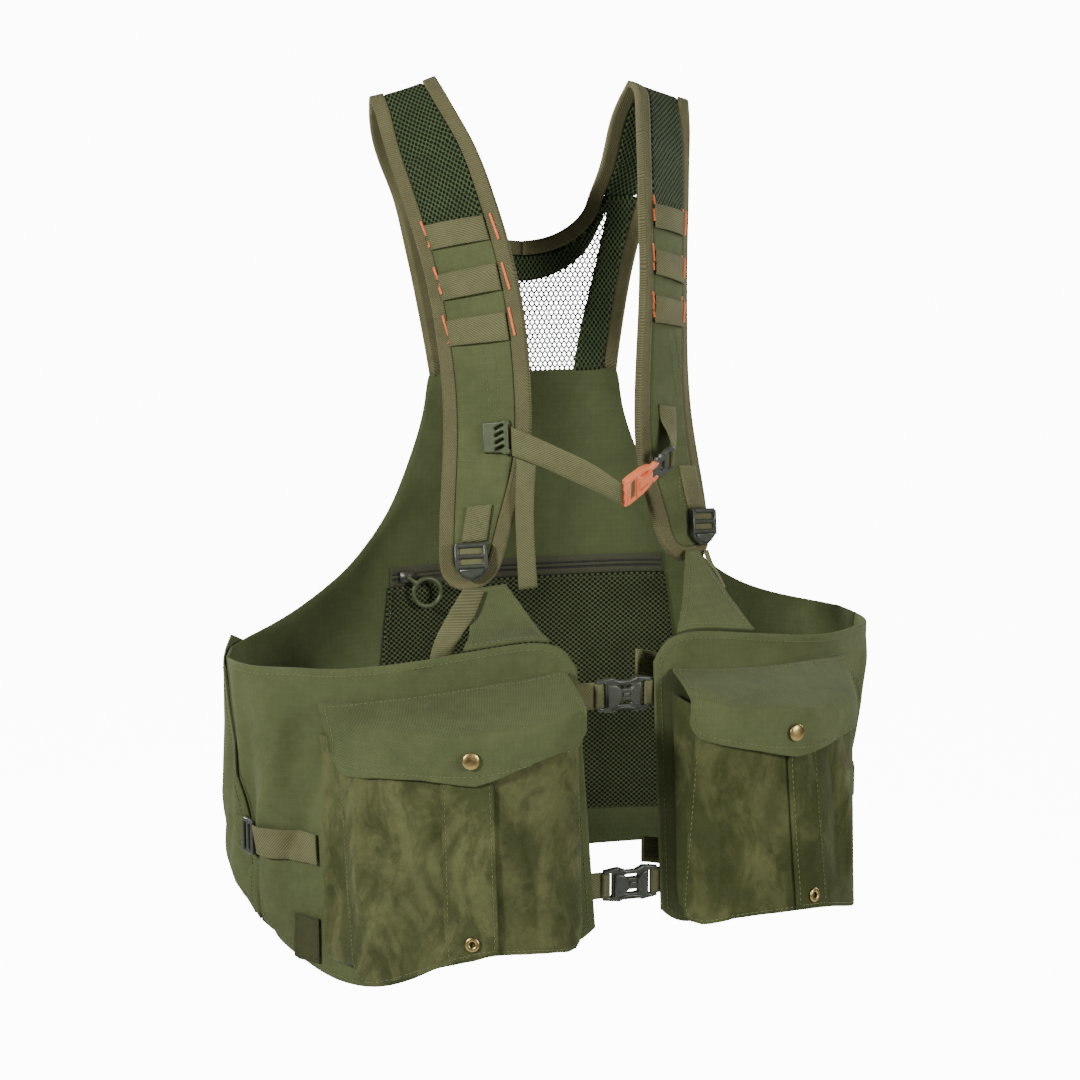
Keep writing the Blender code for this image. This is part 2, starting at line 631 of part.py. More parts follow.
def build_yoke():
    half = frame_half(27)
    right = half * np.array([-1, 1, -1, 1])
    left = half[::-1][1:]
    both = np.concatenate([right, left])
    net_side = yoke_point(both[:, 0], both[:, 1])
    outer_side = yoke_point(both[:, 2], both[:, 3])
    middle = (both[:, :2] + both[:, 2:]) / 2
    grid = np.stack([net_side, yoke_point(middle[:, 0], middle[:, 1]), outer_side])
    sheet("yoke_frame", grid, MESH_THICKNESS, "air_mesh")

    rows = np.array(FRAME_ROWS, float) * MM
    side_x, side_z = rows[:6, 0] - NET_INSET, rows[:6, 1]
    arc = rows[:6:-1]
    steepness = np.gradient(arc[:, 1], arc[:, 0])
    arc_x = np.append(arc[:, 0], side_x[-1])
    arc_z = np.append(arc[:, 1] - NET_INSET * 1.5 * np.sqrt(1 + steepness**2), side_z[-1])
    horn_x, horn_z = arc_x[-1], arc_z[-1]
    reaches = arc_x / horn_x
    shares = np.concatenate([-reaches[:0:-1], reaches])
    levels = np.linspace(0, 1, 7)
    net = np.zeros((len(levels), len(shares), 3))
    for place, share in enumerate(shares):
        reach = abs(share)
        top = np.array([reach * horn_x, np.interp(reach * horn_x, arc_x, arc_z)])
        foot = np.array([reach * side_x[0], YOKE_BOTTOM])
        for row, level in enumerate(levels):
            height = YOKE_BOTTOM + level * (horn_z - YOKE_BOTTOM)
            bulge = np.interp(height, side_z, side_x) - (side_x[0] + level * (horn_x - side_x[0]))
            flat = foot + (top - foot) * level + np.array([bulge * reach**4, 0.0])
            net[row, place] = yoke_point(math.copysign(flat[0], share), flat[1])
    sheet("yoke_net", net, NET_THICKNESS, "net")


def build_bands():
    lift = STRAP_THICKNESS / 2 + LAYER_GAP + WEBBING_THICKNESS / 2
    for index, (side, _) in enumerate(SIDES):
        strap = STRAPS[side]
        for label, heights in BAND_HEIGHTS.items():
            middle = strap.station(heights[index] * MM)
            reach = float(strap.half(middle)) - BINDING_WIDTH - PADDED_SEAM_GAP
            shares = np.linspace(-1, 1, 6)
            arch = BAND_LIFT * (1 - shares**4)
            stations = middle + np.array([-0.5, 0.5]) * BAND_WIDTH
            grid = np.array([[strap.point(s, q * reach, lift + a) for q, a in zip(shares, arch)]
                             for s in stations])
            sheet(f"band_{label}_{side}", grid, WEBBING_THICKNESS, "webbing")


def ribbon(name, rows, count, thickness, finish, across=2):
    # a strip of webbing between two edges, each row holding a point of both
    rows = np.array(rows, float) * MM
    smooth_rows = smooth(np.linspace(0, len(rows) - 1, count), np.arange(len(rows), dtype=float), rows)
    shares = np.linspace(0.0, 1.0, across)[None, :, None]
    grid = smooth_rows[:, None, :3] * (1 - shares) + smooth_rows[:, None, 3:] * shares
    return sheet(name, grid, thickness, finish)


def strap_matrix(strap, distance, offset, lift):
    across, along, out = strap.directions(distance)
    return frame_matrix(strap.point(distance, offset, lift), across, out)


LADDER_OUTLINE = (
    (-11, 12), (11, 12), (12, 8.5), (11.5, -7.5), (7.5, -12), (0, -16), (-7.5, -12), (-11.5, -7.5), (-12, 8.5),
)
LADDER_LENGTH_UP = 12.4 * MM
LADDER_LIFT = 4.0 * MM
# Each ladder lock: height of its middle, its place towards the arm side, top of its webbing patch
LADDER_LOCKS = {"right": (-322, -1.0, -284), "left": (-306, 14.0, -262)}


def build_chest_adjusters():
    for side, _ in SIDES:
        strap = STRAPS[side]
        surface = STRAP_THICKNESS / 2 + LAYER_GAP
        lift = surface + WEBBING_THICKNESS / 2
        height, aside, patch_top = (value * MM for value in LADDER_LOCKS[side])
        lock_at = strap.station(height)
        patch_end = lock_at - LADDER_LENGTH_UP - SEAM_GAP
        stations = np.linspace(strap.station(patch_top), patch_end, 4)
        offsets = aside + np.array([-9.0, 0.0, 9.0]) * MM
        grid = np.array([[strap.point(s, q, lift) for q in offsets] for s in stations])
        sheet(f"lock_patch_{side}", grid, WEBBING_THICKNESS, "webbing")
        matrix = strap_matrix(strap, lock_at, aside, surface + LADDER_LIFT)
        down = (matrix.to_3x3() @ Vector((0, 1, 0))).z
        flip = 1.0 if down > 0 else -1.0
        outline = [(x, y * flip) for x, y in LADDER_OUTLINE]
        windows = [rounded_box(17, 3.8, 1.2, (0.0, 6.2 * flip)), rounded_box(17, 3.8, 1.2, (0.0, -1.2 * flip))]
        plate(f"ladder_lock_{side}", [outline] + windows, 4.0 * MM, matrix, "grey_plastic")


# Free webbing that hangs from each ladder lock, edge to edge; the right one drops in behind
# the front panel, the left one hangs edge on beside its chest tab
TAIL_ROWS = {
    "right": (
        (94.0, -129.0, -340.0, 78.5, -130.0, -341.5), (101.5, -138, -345.5, 85.0, -141, -348),
        (110.5, -150, -352.0, 93.5, -154, -355.5), (118.0, -157, -360.0, 103.0, -161, -363.5),
        (124.0, -159, -371.0, 110.0, -162, -375.0), (126.0, -155, -386.0, 111.5, -159, -389.0),
        (126.0, -150, -406.0, 111.5, -154, -408.0),
    ),
    "left": (
        (91.2, -123.0, -324.4, 98.9, -110.0, -325.4), (93.4, -128, -332.2, 101.4, -113, -334.7),
        (96.5, -134, -340.2, 104.2, -119, -342.2), (100.0, -141, -349.2, 106.5, -126, -350.7),
    ),
}
# Triangular chest tab below each ladder lock: its outer and inner edge, row by row, and the
# places of the two where it is sewn to the top edge of the front panel
TAB_ROWS = {
    "right": (
        (91.0, -123.5, -342.0, 61.0, -123.5, -339.5), (94.0, -142, -353.0, 55.0, -146, -352.5),
        (98.0, -163, -364.0, 51.0, -171, -363.4),
    ),
    "left": (
        (90.0, -117.5, -325.5, 79.0, -117.5, -324.0), (94.0, -135, -339.0, 70.0, -138, -334.5),
        (99.0, -157, -354.0, 58.9, -164, -348.4),
    ),
}
TAB_FEET = {"right": (108, 49), "left": (108, 45)}


def build_chest_tabs():
    for side, sign in SIDES:
        outer_foot, inner_foot = TAB_FEET[side]
        table = np.array(TAB_ROWS[side], float) * np.array([sign, 1, 1, sign, 1, 1])
        grid = np.zeros((6, 7, 3))
        for index, share in enumerate(np.linspace(0, 1, 7)):
            foot_x = (outer_foot + (inner_foot - outer_foot) * share) * MM
            angle = angle_at(sign, foot_x, RING_TOP)
            foot = body(sign * angle, front_top_height(angle)) / MM + np.array([0.0, 0.6, 1.6])
            lines = [row[:3] * (1 - share) + row[3:] * share for row in table] + [foot]
            grid[:, index] = smooth(np.linspace(0, 3, 6), np.arange(4.0), np.array(lines))
        sheet(f"chest_tab_{side}", grid * MM, RIPSTOP_THICKNESS, "ripstop")
        tail = np.array(TAIL_ROWS[side], float) * np.array([sign, 1, 1, sign, 1, 1])
        ribbon(f"adjuster_tail_{side}", tail, 11, WEBBING_THICKNESS, "webbing")


# Sternum strap, lower and upper edge, from the slider to the buckle
STERNUM_ROWS = (
    (-53.9, -117.3, -247.6, -53.9, -115.0, -227.6),
    (-46.5, -121.2, -250.5, -46.5, -120.2, -230.5),
    (-40.0, -123.8, -253.2, -40.5, -123.6, -233.2),
    (-32.9, -128.0, -256.0, -34.6, -128.0, -236.0),
    (-17.4, -139.0, -263.8, -18.7, -139.0, -243.8),
    (-1.2, -145.5, -271.4, -2.6, -147.0, -252.0),
    (17.9, -145.5, -282.2, 15.4, -153.0, -265.2),
)
STERNUM_TAIL_ROWS = (
    (-51.5, -120.0, -249.3, -38.5, -124.6, -254.5),
    (-52.2, -121.4, -258.0, -39.2, -125.0, -262.0),
    (-53.0, -121.4, -285.0, -40.5, -125.4, -286.0),
    (-52.0, -121.4, -315.0, -39.5, -125.4, -316.0),
    (-50.5, -121.4, -344.0, -37.5, -125.4, -342.5),
)
STERNUM_BUCKLE_START = (18.4, -150.0, -273.6)
STERNUM_BUCKLE_ALONG = (0.813, 0.443, 0.377)
STERNUM_BUCKLE_NORMAL = (0.563, -0.764, -0.316)
FEMALE_OUTLINE = ((0.5, -11), (0.5, 11), (5, 12), (20, 11.5), (30.5, 8), (30.5, -8), (20, -11.5), (5, -12))
MALE_OUTLINE = (
    (31, -7), (31, 7), (38, 8.5), (46, 10.5), (55, 10.5), (57, 9), (57, -9), (55, -10.5), (46, -10.5), (38, -8.5),
)
# Webbing loop from the left strap's face to the bar of the buckle, turned over on the way
LOOP_ROWS = (
    (59.3, -111.0, -216.1, 75.9, -99.7, -219.5),
    (59.9, -111.4, -225.3, 76.5, -100.7, -228.7),
    (63.0, -119.5, -235.0, 73.5, -109.0, -241.5),
    (64.3, -128.1, -244.7, 66.7, -119.9, -259.1),
)


def build_sternum_strap():
    strap = STRAPS["right"]
    lift = STRAP_THICKNESS / 2 + LAYER_GAP + 1.6 * MM
    matrix = strap_matrix(strap, strap.station(-236 * MM), -8.5 * MM, lift)
    outline = rounded_box(20, 24, 3)
    windows = [rounded_box(9, 2.4, 1.0, (0.0, y)) for y in (-7.5, -2.5, 2.5, 7.5)]
    plate("sternum_slider", [outline] + windows, 2.6 * MM, matrix, "olive_plastic")
    ribbon("sternum_webbing", STERNUM_ROWS, 13, WEBBING_THICKNESS, "webbing")
    ribbon("sternum_tail", STERNUM_TAIL_ROWS, 11, WEBBING_THICKNESS, "webbing")
    ribbon("sternum_loop", LOOP_ROWS, 9, WEBBING_THICKNESS, "webbing")

    start = Vector(STERNUM_BUCKLE_START) * MM
    matrix = frame_matrix(start, STERNUM_BUCKLE_ALONG, STERNUM_BUCKLE_NORMAL)
    windows = [rounded_box(3.4, 15, 1.0, (8.0, 0.0))]
    plate("sternum_buckle_female", [FEMALE_OUTLINE] + windows, 6.0 * MM, matrix, "orange_plastic")
    windows = [rounded_box(3.2, 14, 1.0, (52.5, 0.0))]
    plate("sternum_buckle_male", [MALE_OUTLINE] + windows, 4.0 * MM, matrix, "grey_plastic")


def pocket_heights(column_name, share):
    return MM * smooth(np.clip(share, 0, 1), column(POCKET_HEIGHTS, POCKET_HEIGHT_COLUMNS, "share"),
                       column(POCKET_HEIGHTS, POCKET_HEIGHT_COLUMNS, column_name))


def pocket_face(side, sign, share, drop):
    # share runs from the outer edge to the inner edge, drop from the mouth to the bottom
    share, drop = np.broadcast_arrays(np.asarray(share, float), np.asarray(drop, float))
    table = np.array(POCKET_ROWS, float)[:, 1:] * MM
    plan = smooth(share, column(POCKET_ROWS, POCKET_COLUMNS, "share"), table)
    taken_top, taken_bottom = POCKET_TAKEN_IN[side]
    taken = (taken_top + (taken_bottom - taken_top) * drop) * MM * np.clip(1 - 2 * share, 0.0, 1.0)
    x = plan[..., 0] + (plan[..., 2] - plan[..., 0]) * drop - taken
    y = plan[..., 1] + (plan[..., 3] - plan[..., 1]) * drop
    mouth = pocket_heights("mouth", share)
    bottom = pocket_heights(f"{side}_bottom", share)
    return np.stack([sign * x, y, mouth + (bottom - mouth) * drop], axis=-1)


def pocket_centre(sign):
    return (sign * 0.10, -0.12, -0.50)


def face_lift(side, sign, share, drop, lift):
    # a point standing off the pocket face by the lift
    step = 0.01
    here = pocket_face(side, sign, share, drop)
    sideways = pocket_face(side, sign, np.clip(share + step, 0, 1), drop) - pocket_face(
        side, sign, np.clip(share - step, 0, 1), drop)
    down = pocket_face(side, sign, share, drop + step) - pocket_face(side, sign, share, drop - step)
    out = unit(np.cross(sideways, down))
    facing = np.sum(out * (here - np.array(pocket_centre(sign))), axis=-1, keepdims=True)
    return here + out * np.where(facing < 0, -1.0, 1.0) * np.asarray(lift)[..., None]


def pocket_outline(corner_steps=3):
    # the three sewn sides of the face: down the outer edge, along the bottom, up the inner edge
    points = [(0.0, drop) for drop in np.linspace(0.0, 1 - POCKET_CORNER, 6)[:-1]]
    for step in range(corner_steps + 1):
        angle = math.radians(90 * step / corner_steps)
        points.append((POCKET_CORNER * (1 - math.cos(angle)), 1 - POCKET_CORNER * (1 - math.sin(angle))))
    for share in np.linspace(POCKET_CORNER, 1 - POCKET_CORNER, 8)[1:-1]:
        points.append((share, 1.0))
    for step in range(corner_steps, -1, -1):
        angle = math.radians(90 * step / corner_steps)
        points.append((1 - POCKET_CORNER * (1 - math.cos(angle)), 1 - POCKET_CORNER * (1 - math.sin(angle))))
    points += [(1.0, drop) for drop in np.linspace(1 - POCKET_CORNER, 0.0, 6)[1:]]
    return np.array(points)


def build_pocket_body(side, sign):
    drops = np.concatenate([np.linspace(0.0, 1 - POCKET_CORNER, 6),
                            [1 - POCKET_CORNER * (1 - math.sin(math.radians(a))) for a in (30, 60, 90)]])
    insets = np.concatenate([np.zeros(6),
                             [POCKET_CORNER * (1 - math.cos(math.radians(a))) for a in (30, 60, 90)]])
    shares = np.linspace(0.0, 1.0, 15)
    face = np.array([pocket_face(side, sign, inset + shares * (1 - 2 * inset), np.full(15, drop))
                     for drop, inset in zip(drops, insets)])
    sheet(f"pocket_face_{side}", face, SUEDE_THICKNESS, "suede")

    outline = pocket_outline()
    middle = np.array([0.5, 0.45])
    inner = outline + unit(middle - outline) * 0.014
    behind = SUEDE_THICKNESS / 2 + SEAM_GAP + GUSSET_CORNER
    front = face_lift(side, sign, inner[:, 0], inner[:, 1], np.full(len(inner), -behind))
    base_x = POCKET_BASE_OUTER + (POCKET_BASE_INNER - POCKET_BASE_OUTER) * inner[:, 0]
    base = front_point(sign, base_x, front[:, 2])
    base = laid_on(side, base, RIPSTOP_THICKNESS / 2 + LAYER_GAP + 2 * GUSSET_CORNER)
    centre = np.array(pocket_centre(sign))
    fold = unit((centre - (base + front) / 2) * np.array([1.0, 0.0, 1.0])) * GUSSET_FOLD
    rows = []
    for share in (0.0, 0.25, 0.5, 0.75, 1.0):
        rows.append(base + (front - base) * share + fold * math.sin(math.pi * share))
    sheet(f"pocket_gusset_{side}", np.array(rows), SUEDE_THICKNESS, "suede")


def strip_share(side, drop, across):
    top_outer, top_inner, bottom_outer, bottom_inner = STRIP_SPANS[side]
    outer = top_outer + (bottom_outer - top_outer) * drop
    inner = top_inner + (bottom_inner - top_inner) * drop
    return outer + (inner - outer) * across


def build_pocket_strip(side, sign):
    lift = SUEDE_THICKNESS / 2 + LAYER_GAP + SUEDE_THICKNESS / 2
    drops = np.linspace(0.0, 0.99, 9)
    across = np.linspace(0.0, 1.0, 4)
    grid = np.array([[face_lift(side, sign, strip_share(side, drop, a), drop, lift) for a in across]
                     for drop in drops])
    sheet(f"pocket_strip_{side}", grid, SUEDE_THICKNESS, "suede")


FLAP_SHARES = np.concatenate([[-0.03, -0.015, 0.02, 0.07], np.linspace(0.14, 0.86, 9), [0.93, 0.975, 1.01, 1.025]])
FLAP_CORNER = 9.0 * MM


def flap_grid(side, sign):
    rows = 7
    grid = np.zeros((rows, len(FLAP_SHARES), 3))
    for index, share in enumerate(FLAP_SHARES):
        clipped = float(np.clip(share, 0, 1))
        beyond = (share - clipped) * -160 * MM
        root_x = FLAP_ROOT_OUTER[side] + (43 * MM - FLAP_ROOT_OUTER[side]) * share
        root_z = pocket_heights(f"{side}_root", clipped)
        root = front_point(sign, root_x, root_z)
        outward = ring_outward(root)
        root = laid_on(side, root, RIPSTOP_THICKNESS / 2 + LAYER_GAP + FLAP_THICKNESS / 2)
        mouth = pocket_heights("mouth", clipped)
        bottom = pocket_heights(f"{side}_bottom", clipped)
        edge_z = pocket_heights("flap_edge", clipped)
        end = min(abs(share + 0.03), abs(1.025 - share)) * 160 * MM
        edge_z = edge_z + FLAP_CORNER * max(0.0, 1 - end / FLAP_CORNER) ** 2
        edge_drop = (edge_z - mouth) / (bottom - mouth)
        middle = strip_share(side, 0.0, 0.5)
        over_strip = 3.0 * MM * math.exp(-(((share - middle) / 0.16) ** 4))
        lift = SUEDE_THICKNESS / 2 + LAYER_GAP + FLAP_THICKNESS / 2 + over_strip
        aside = np.array([sign * beyond, 0.0, 0.0])
        shoulder = face_lift(side, sign, clipped, 0.0, lift + 0.5 * MM) + aside + np.array([0, 0, 2.5 * MM])
        edge = face_lift(side, sign, clipped, edge_drop, lift) + aside
        crown = (root + shoulder) / 2 + np.array([0.0, 0.0, 1.0 * MM]) + outward * 1 * MM
        lines = np.array([root, crown, shoulder, (shoulder + edge) / 2 + outward * 0.8 * MM, edge])
        grid[:, index] = smooth(np.linspace(0, 4, rows), np.arange(5.0), lines)
    return grid


def build_flap(side, sign):
    grid = flap_grid(side, sign)
    sheet(f"flap_{side}", grid, FLAP_THICKNESS, "ripstop")
    normals = grid_normals(grid, pocket_centre(sign))
    near = int(np.searchsorted(FLAP_SHARES, SNAP_SHARE[side]))
    beyond = (SNAP_SHARE[side] - FLAP_SHARES[near - 1]) / (FLAP_SHARES[near] - FLAP_SHARES[near - 1])
    line = grid[:, near - 1] * (1 - beyond) + grid[:, near] * beyond
    seat = line[-3] * 0.45 + line[-2] * 0.55
    out = unit(normals[-3, near] + normals[-2, near])
    origin = seat + out * (FLAP_THICKNESS / 2 + 0.9 * MM)
    profile = ((0.0, 2.0), (3.4, 1.8), (5.6, 1.1), (6.2, 0.3), (5.8, 0.0), (0.0, 0.0))
    turned(f"snap_{side}", profile, 16, frame_matrix(origin, (1, 0, 0), out), "brass")


def build_eyelet(side, sign):
    drop = 0.925
    share = strip_share(side, drop, 0.5)
    top = SUEDE_THICKNESS * 1.5 + LAYER_GAP + 0.5 * MM
    seat = face_lift(side, sign, share, drop, top)
    out = unit(face_lift(side, sign, share, drop, 10 * MM) - face_lift(side, sign, share, drop, 0.0))
    profile = ((5.2, 0.0), (1.9, 0.0), (1.9, 1.0), (3.6, 1.7), (5.2, 0.9))
    turned(f"eyelet_{side}", profile, 16, frame_matrix(seat, (1, 0, 0), out), "brass", closed=True)


def build_pockets():
    for side, sign in SIDES:
        build_pocket_body(side, sign)
        build_pocket_strip(side, sign)
        build_flap(side, sign)
        build_eyelet(side, sign)


# Front buckles: height and middle; their webbing lies just behind both front edges
FRONT_BUCKLES = {"upper": (-407.5, 4.0), "lower": (-541, 5.0)}
BUCKLE_HALF = 20.0
BUCKLE_OUTLINE = (
    (-20, -11), (-20, 11), (-13, 12), (-9, 12.5), (-3, 9), (3, 9), (9, 12.5), (14, 12), (20, 11),
    (20, -11), (14, -12), (9, -12.5), (3, -9), (-3, -9), (-9, -12.5), (-13, -12),
)
# Turned-back webbing end behind the left front: distance past the edge, depth, rise
LOOP_BACK = ((14, 3.0, 1), (22, 12.0, 6), (12, 19.0, 13), (-5, 15.0, 18), (-9, 10.0, 20))


def front_edge_x(side, height):
    top, hem = FRONT_EDGE[side]
    level = np.clip((height * MM - RING_TOP) / (SEAM_HEM_HEIGHT - RING_TOP), 0.0, 1.0)
    return float(top + (hem - top) * level)


def build_front_buckles():
    behind = (RIPSTOP_THICKNESS / 2 + LAYER_GAP + WEBBING_THICKNESS / 2) / MM
    for label, (height, middle) in FRONT_BUCKLES.items():
        left_x = front_edge_x("left", height)
        right_x = -front_edge_x("right", height)
        left_y = front_point(1.0, left_x * MM, height * MM)[1] / MM + behind
        right_y = front_point(-1.0, -right_x * MM, height * MM)[1] / MM + behind
        depth = (left_y + right_y) / 2
        tilt = (left_y - right_y) / (left_x - right_x)
        matrix = frame_matrix((middle * MM, depth * MM, height * MM), (1, tilt, 0), (tilt, -1, 0))
        windows = [
            rounded_box(2.6, 17, 1.0, (-15.5, 0)), rounded_box(2.6, 17, 1.0, (15.5, 0)),
            rounded_box(9.0, 3.0, 1.2, (0.0, 3.6)), rounded_box(9.0, 3.0, 1.2, (0.0, -3.6)),
        ]
        plate(f"front_buckle_{label}", [BUCKLE_OUTLINE] + windows, 6.0 * MM, matrix, "grey_plastic")
        top, bottom = height + 9.5, height - 9.5
        rows = []
        for x in (right_x - 14, right_x - 7, right_x, middle - BUCKLE_HALF - 0.4):
            reach = max(-x, -right_x)
            y = front_point(-1.0, reach * MM, height * MM)[1] / MM + behind + 0.5
            rows.append((x, y, top, x, y, bottom))
        ribbon(f"front_webbing_{label}_right", rows, 5, WEBBING_THICKNESS, "webbing")
        start = middle + BUCKLE_HALF + 0.4
        rows = [(start, left_y + 0.4, top, start, left_y + 0.4, bottom),
                (left_x + 4, left_y + 1.0, top, left_x + 4, left_y + 1.0, bottom)]
        for past, deeper, rise in LOOP_BACK:
            x, y = left_x + past, left_y + deeper
            rows.append((x, y, top + rise, x, y, bottom + rise))
        ribbon(f"front_webbing_{label}_left", rows, 13, WEBBING_THICKNESS, "webbing")


def build_inner_pocket():
    inward = RIPSTOP_THICKNESS / 2 + LAYER_GAP
    half = ZIP_TAPE_WIDTH / 2
    across = np.linspace(-1, 1, 21)
    base = np.array([[body(back_angle(x, z), z) for x in across * ZIP_HALF_LENGTH]
                     for z in (ZIP_HEIGHT + half, ZIP_HEIGHT - half)])
    tape = moved_out(base, -(inward + 0.8 * MM))
    sheet("zip_tape", tape, 1.6 * MM, "zip")

    drops = np.linspace(0.0, 1.0, 6)
    top = ZIP_HEIGHT - half - SEAM_GAP
    grid = np.zeros((len(drops), 21, 3))
    for row, drop in enumerate(drops):
        height = top + (MESH_POCKET_BOTTOM - top) * drop
        reach = MESH_POCKET_TOP_WIDTH + (MESH_POCKET_BOTTOM_WIDTH - MESH_POCKET_TOP_WIDTH) * drop
        xs = np.linspace(-1, 1, 21) * reach
        grid[row] = body(back_angle(xs, height), height)
    sheet("mesh_pocket", moved_out(grid, -(inward + 0.8 * MM)), 1.6 * MM, "air_mesh")

    seat = body(back_angle(ZIP_SLIDER_X, ZIP_HEIGHT), ZIP_HEIGHT)
    out = unit(np.array([-seat[0] * 0.25, -1.0, 0.0]))
    depth = inward + 1.6 * MM + LAYER_GAP
    origin = seat + out * (depth + 2.1 * MM)
    outline = ((-6, -4.2), (-6, 4.2), (3, 4.2), (6, 2.2), (6, -2.2), (3, -4.2))
    plate("zip_slider", [outline], 3.0 * MM, frame_matrix(origin, (1, 0, 0), out), "zip")

    hinge = seat + out * (depth + 3.6 * MM + 0.4 * MM + RING_WIRE)
    sideways = unit(np.cross(np.array([0.0, 0.0, 1.0]), out))
    direction = sideways * math.cos(math.radians(40)) - np.array([0.0, 0.0, math.sin(math.radians(40))])
    build_ring(hinge, direction, out)


def build_ring(hinge, direction, out):
    # the ring with the short neck that swings on the slider, joined into one body
    bpy.ops.mesh.primitive_torus_add(major_radius=RING_RADIUS, minor_radius=RING_WIRE,
                                     major_segments=24, minor_segments=8)
    ring = bpy.context.object
    ring.name = "ring_pull"
    ring.data.name = "ring_pull"
    ring.matrix_world = frame_matrix(hinge + direction * (RING_NECK + RING_RADIUS), direction, out)
    length = RING_NECK + RING_WIRE
    bpy.ops.mesh.primitive_cylinder_add(vertices=10, radius=RING_WIRE * 0.86, depth=length)
    neck = bpy.context.object
    neck.name = "ring_neck"
    neck.matrix_world = frame_matrix(hinge + direction * (length / 2 - 1.5 * MM), out, direction)
    neck.hide_render = True
    neck.display_type = "WIRE"
    for item in (ring, neck):
        for owner in list(item.users_collection):
            owner.objects.unlink(item)
    CUTTERS.objects.link(neck)
    place(ring, "olive_plastic")
    ring.data.shade_smooth()
    join = ring.modifiers.new("neck", "BOOLEAN")
    join.operation = "UNION"
    join.object = neck


def build_side_straps():
    # side compression straps with their ladder locks and cloth tabs
    for side, sign in SIDES:
        out_by = RIPSTOP_THICKNESS / 2 + LAYER_GAP + WEBBING_THICKNESS / 2
        middle = -516 * MM
        half = 11 * MM
        angles = np.linspace(106.1, float(angle_at(sign, POCKET_BASE_OUTER, middle)) - 1.2, 13)
        rows = [body(sign * angles, np.full(13, height)) for height in (middle + half, middle - half)]
        sheet(f"side_webbing_{side}", laid_on(side, rows, out_by + 0.8 * MM), WEBBING_THICKNESS, "webbing")
        lock_angle = 102.6
        seat = body(sign * lock_angle, middle)
        out = unit(np.array([seat[0], (seat[1] - SIDE_LINE_Y) * 3, 0.0]))
        sideways = unit(np.cross(np.array([0.0, 0.0, 1.0]), out))
        origin = seat + out * (RIPSTOP_THICKNESS / 2 + 4.4 * MM)
        windows = [rounded_box(3.4, 20, 1.0, (-3.2, 0.0)), rounded_box(3.4, 20, 1.0, (3.2, 0.0))]
        plate(f"side_lock_{side}", [rounded_box(14, 26, 2.5)] + windows, 3.6 * MM,
              frame_matrix(origin, sideways, out), "grey_plastic")
        shares = np.tile(sign * np.linspace(0.955, 0.998, 5), (2, 1))
        heights = np.tile(np.array([[middle + half], [middle - half]]), (1, 5))
        tab = pouch_surface(shares, heights, RIPSTOP_THICKNESS / 2 + LAYER_GAP + WEBBING_THICKNESS / 2)
        sheet(f"side_tab_{side}", tab, WEBBING_THICKNESS, "ripstop")


def build_label():
    angles = np.linspace(116.0, 123.0, 6)
    rows = [body(-angles, np.full(6, height * MM)) for height in (-566, -583, -598)]
    lift = RIPSTOP_THICKNESS / 2 + LAYER_GAP + LABEL_THICKNESS / 2 + 0.5 * MM
    sheet("label", laid_on("right", rows, lift), LABEL_THICKNESS, "ripstop")


clear_scene()
VEST = new_collection("hunting_vest")
CUTTERS = new_collection("hunting_vest_cutters")
PANELS = {}
STRAPS = {side: Strap(sign) for side, sign in SIDES}
build_back_panel()
build_game_pouch()
build_front_panels()
build_straps()
build_yoke()
build_bands()
build_chest_adjusters()
build_chest_tabs()
build_sternum_strap()
build_pockets()
build_front_buckles()
build_inner_pocket()
build_side_straps()
build_label()
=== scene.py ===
import math

import bmesh
import bpy
import numpy as np
from mathutils import Matrix, Vector
from mathutils.bvhtree import BVHTree


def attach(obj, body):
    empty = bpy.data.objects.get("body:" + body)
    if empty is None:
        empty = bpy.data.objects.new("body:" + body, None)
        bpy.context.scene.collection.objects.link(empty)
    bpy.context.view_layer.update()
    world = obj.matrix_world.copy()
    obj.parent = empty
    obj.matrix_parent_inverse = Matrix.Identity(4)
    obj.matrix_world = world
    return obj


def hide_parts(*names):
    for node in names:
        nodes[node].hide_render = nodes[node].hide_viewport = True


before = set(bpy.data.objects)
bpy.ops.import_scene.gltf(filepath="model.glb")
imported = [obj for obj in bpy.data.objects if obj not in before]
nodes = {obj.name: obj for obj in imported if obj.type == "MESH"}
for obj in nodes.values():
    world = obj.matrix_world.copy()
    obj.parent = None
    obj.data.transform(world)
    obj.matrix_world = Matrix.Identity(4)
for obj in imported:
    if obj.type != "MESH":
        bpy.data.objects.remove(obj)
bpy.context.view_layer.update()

sceneHome = bpy.context.scene.collection
mm = 0.001
sides = {"right": -1.0, "left": 1.0}

# camera, at the angle that the photograph was taken from; the photograph's frame is in pixels
cameraSetup = {
    "azimuth": -17.5, "elevation": 10.5, "distance": 1.65, "lens": 71.5, "sensor": 36,
    "aim": (0.0, -0.012, -0.330), "photo": 1080,
}


def cameraAxes():
    # the camera's own right, up and back, and its place
    turn = math.radians(cameraSetup["azimuth"])
    rise = math.radians(cameraSetup["elevation"])
    back = Vector((math.sin(turn) * math.cos(rise), -math.cos(turn) * math.cos(rise), math.sin(rise)))
    right = Vector((0, 0, 1)).cross(back).normalized()
    return right, back.cross(right), back, Vector(cameraSetup["aim"]) + back * cameraSetup["distance"]


def makeCamera():
    back, place = cameraAxes()[2:]
    data = bpy.data.cameras.new("camera")
    data.lens = cameraSetup["lens"]
    data.sensor_width = cameraSetup["sensor"]
    camera = bpy.data.objects.new("camera", data)
    camera.rotation_mode = "QUATERNION"
    camera.rotation_quaternion = (-back).to_track_quat("-Z", "Y")
    camera.location = place
    sceneHome.objects.link(camera)
    bpy.context.scene.camera = camera


makeCamera()
print("camera placed")


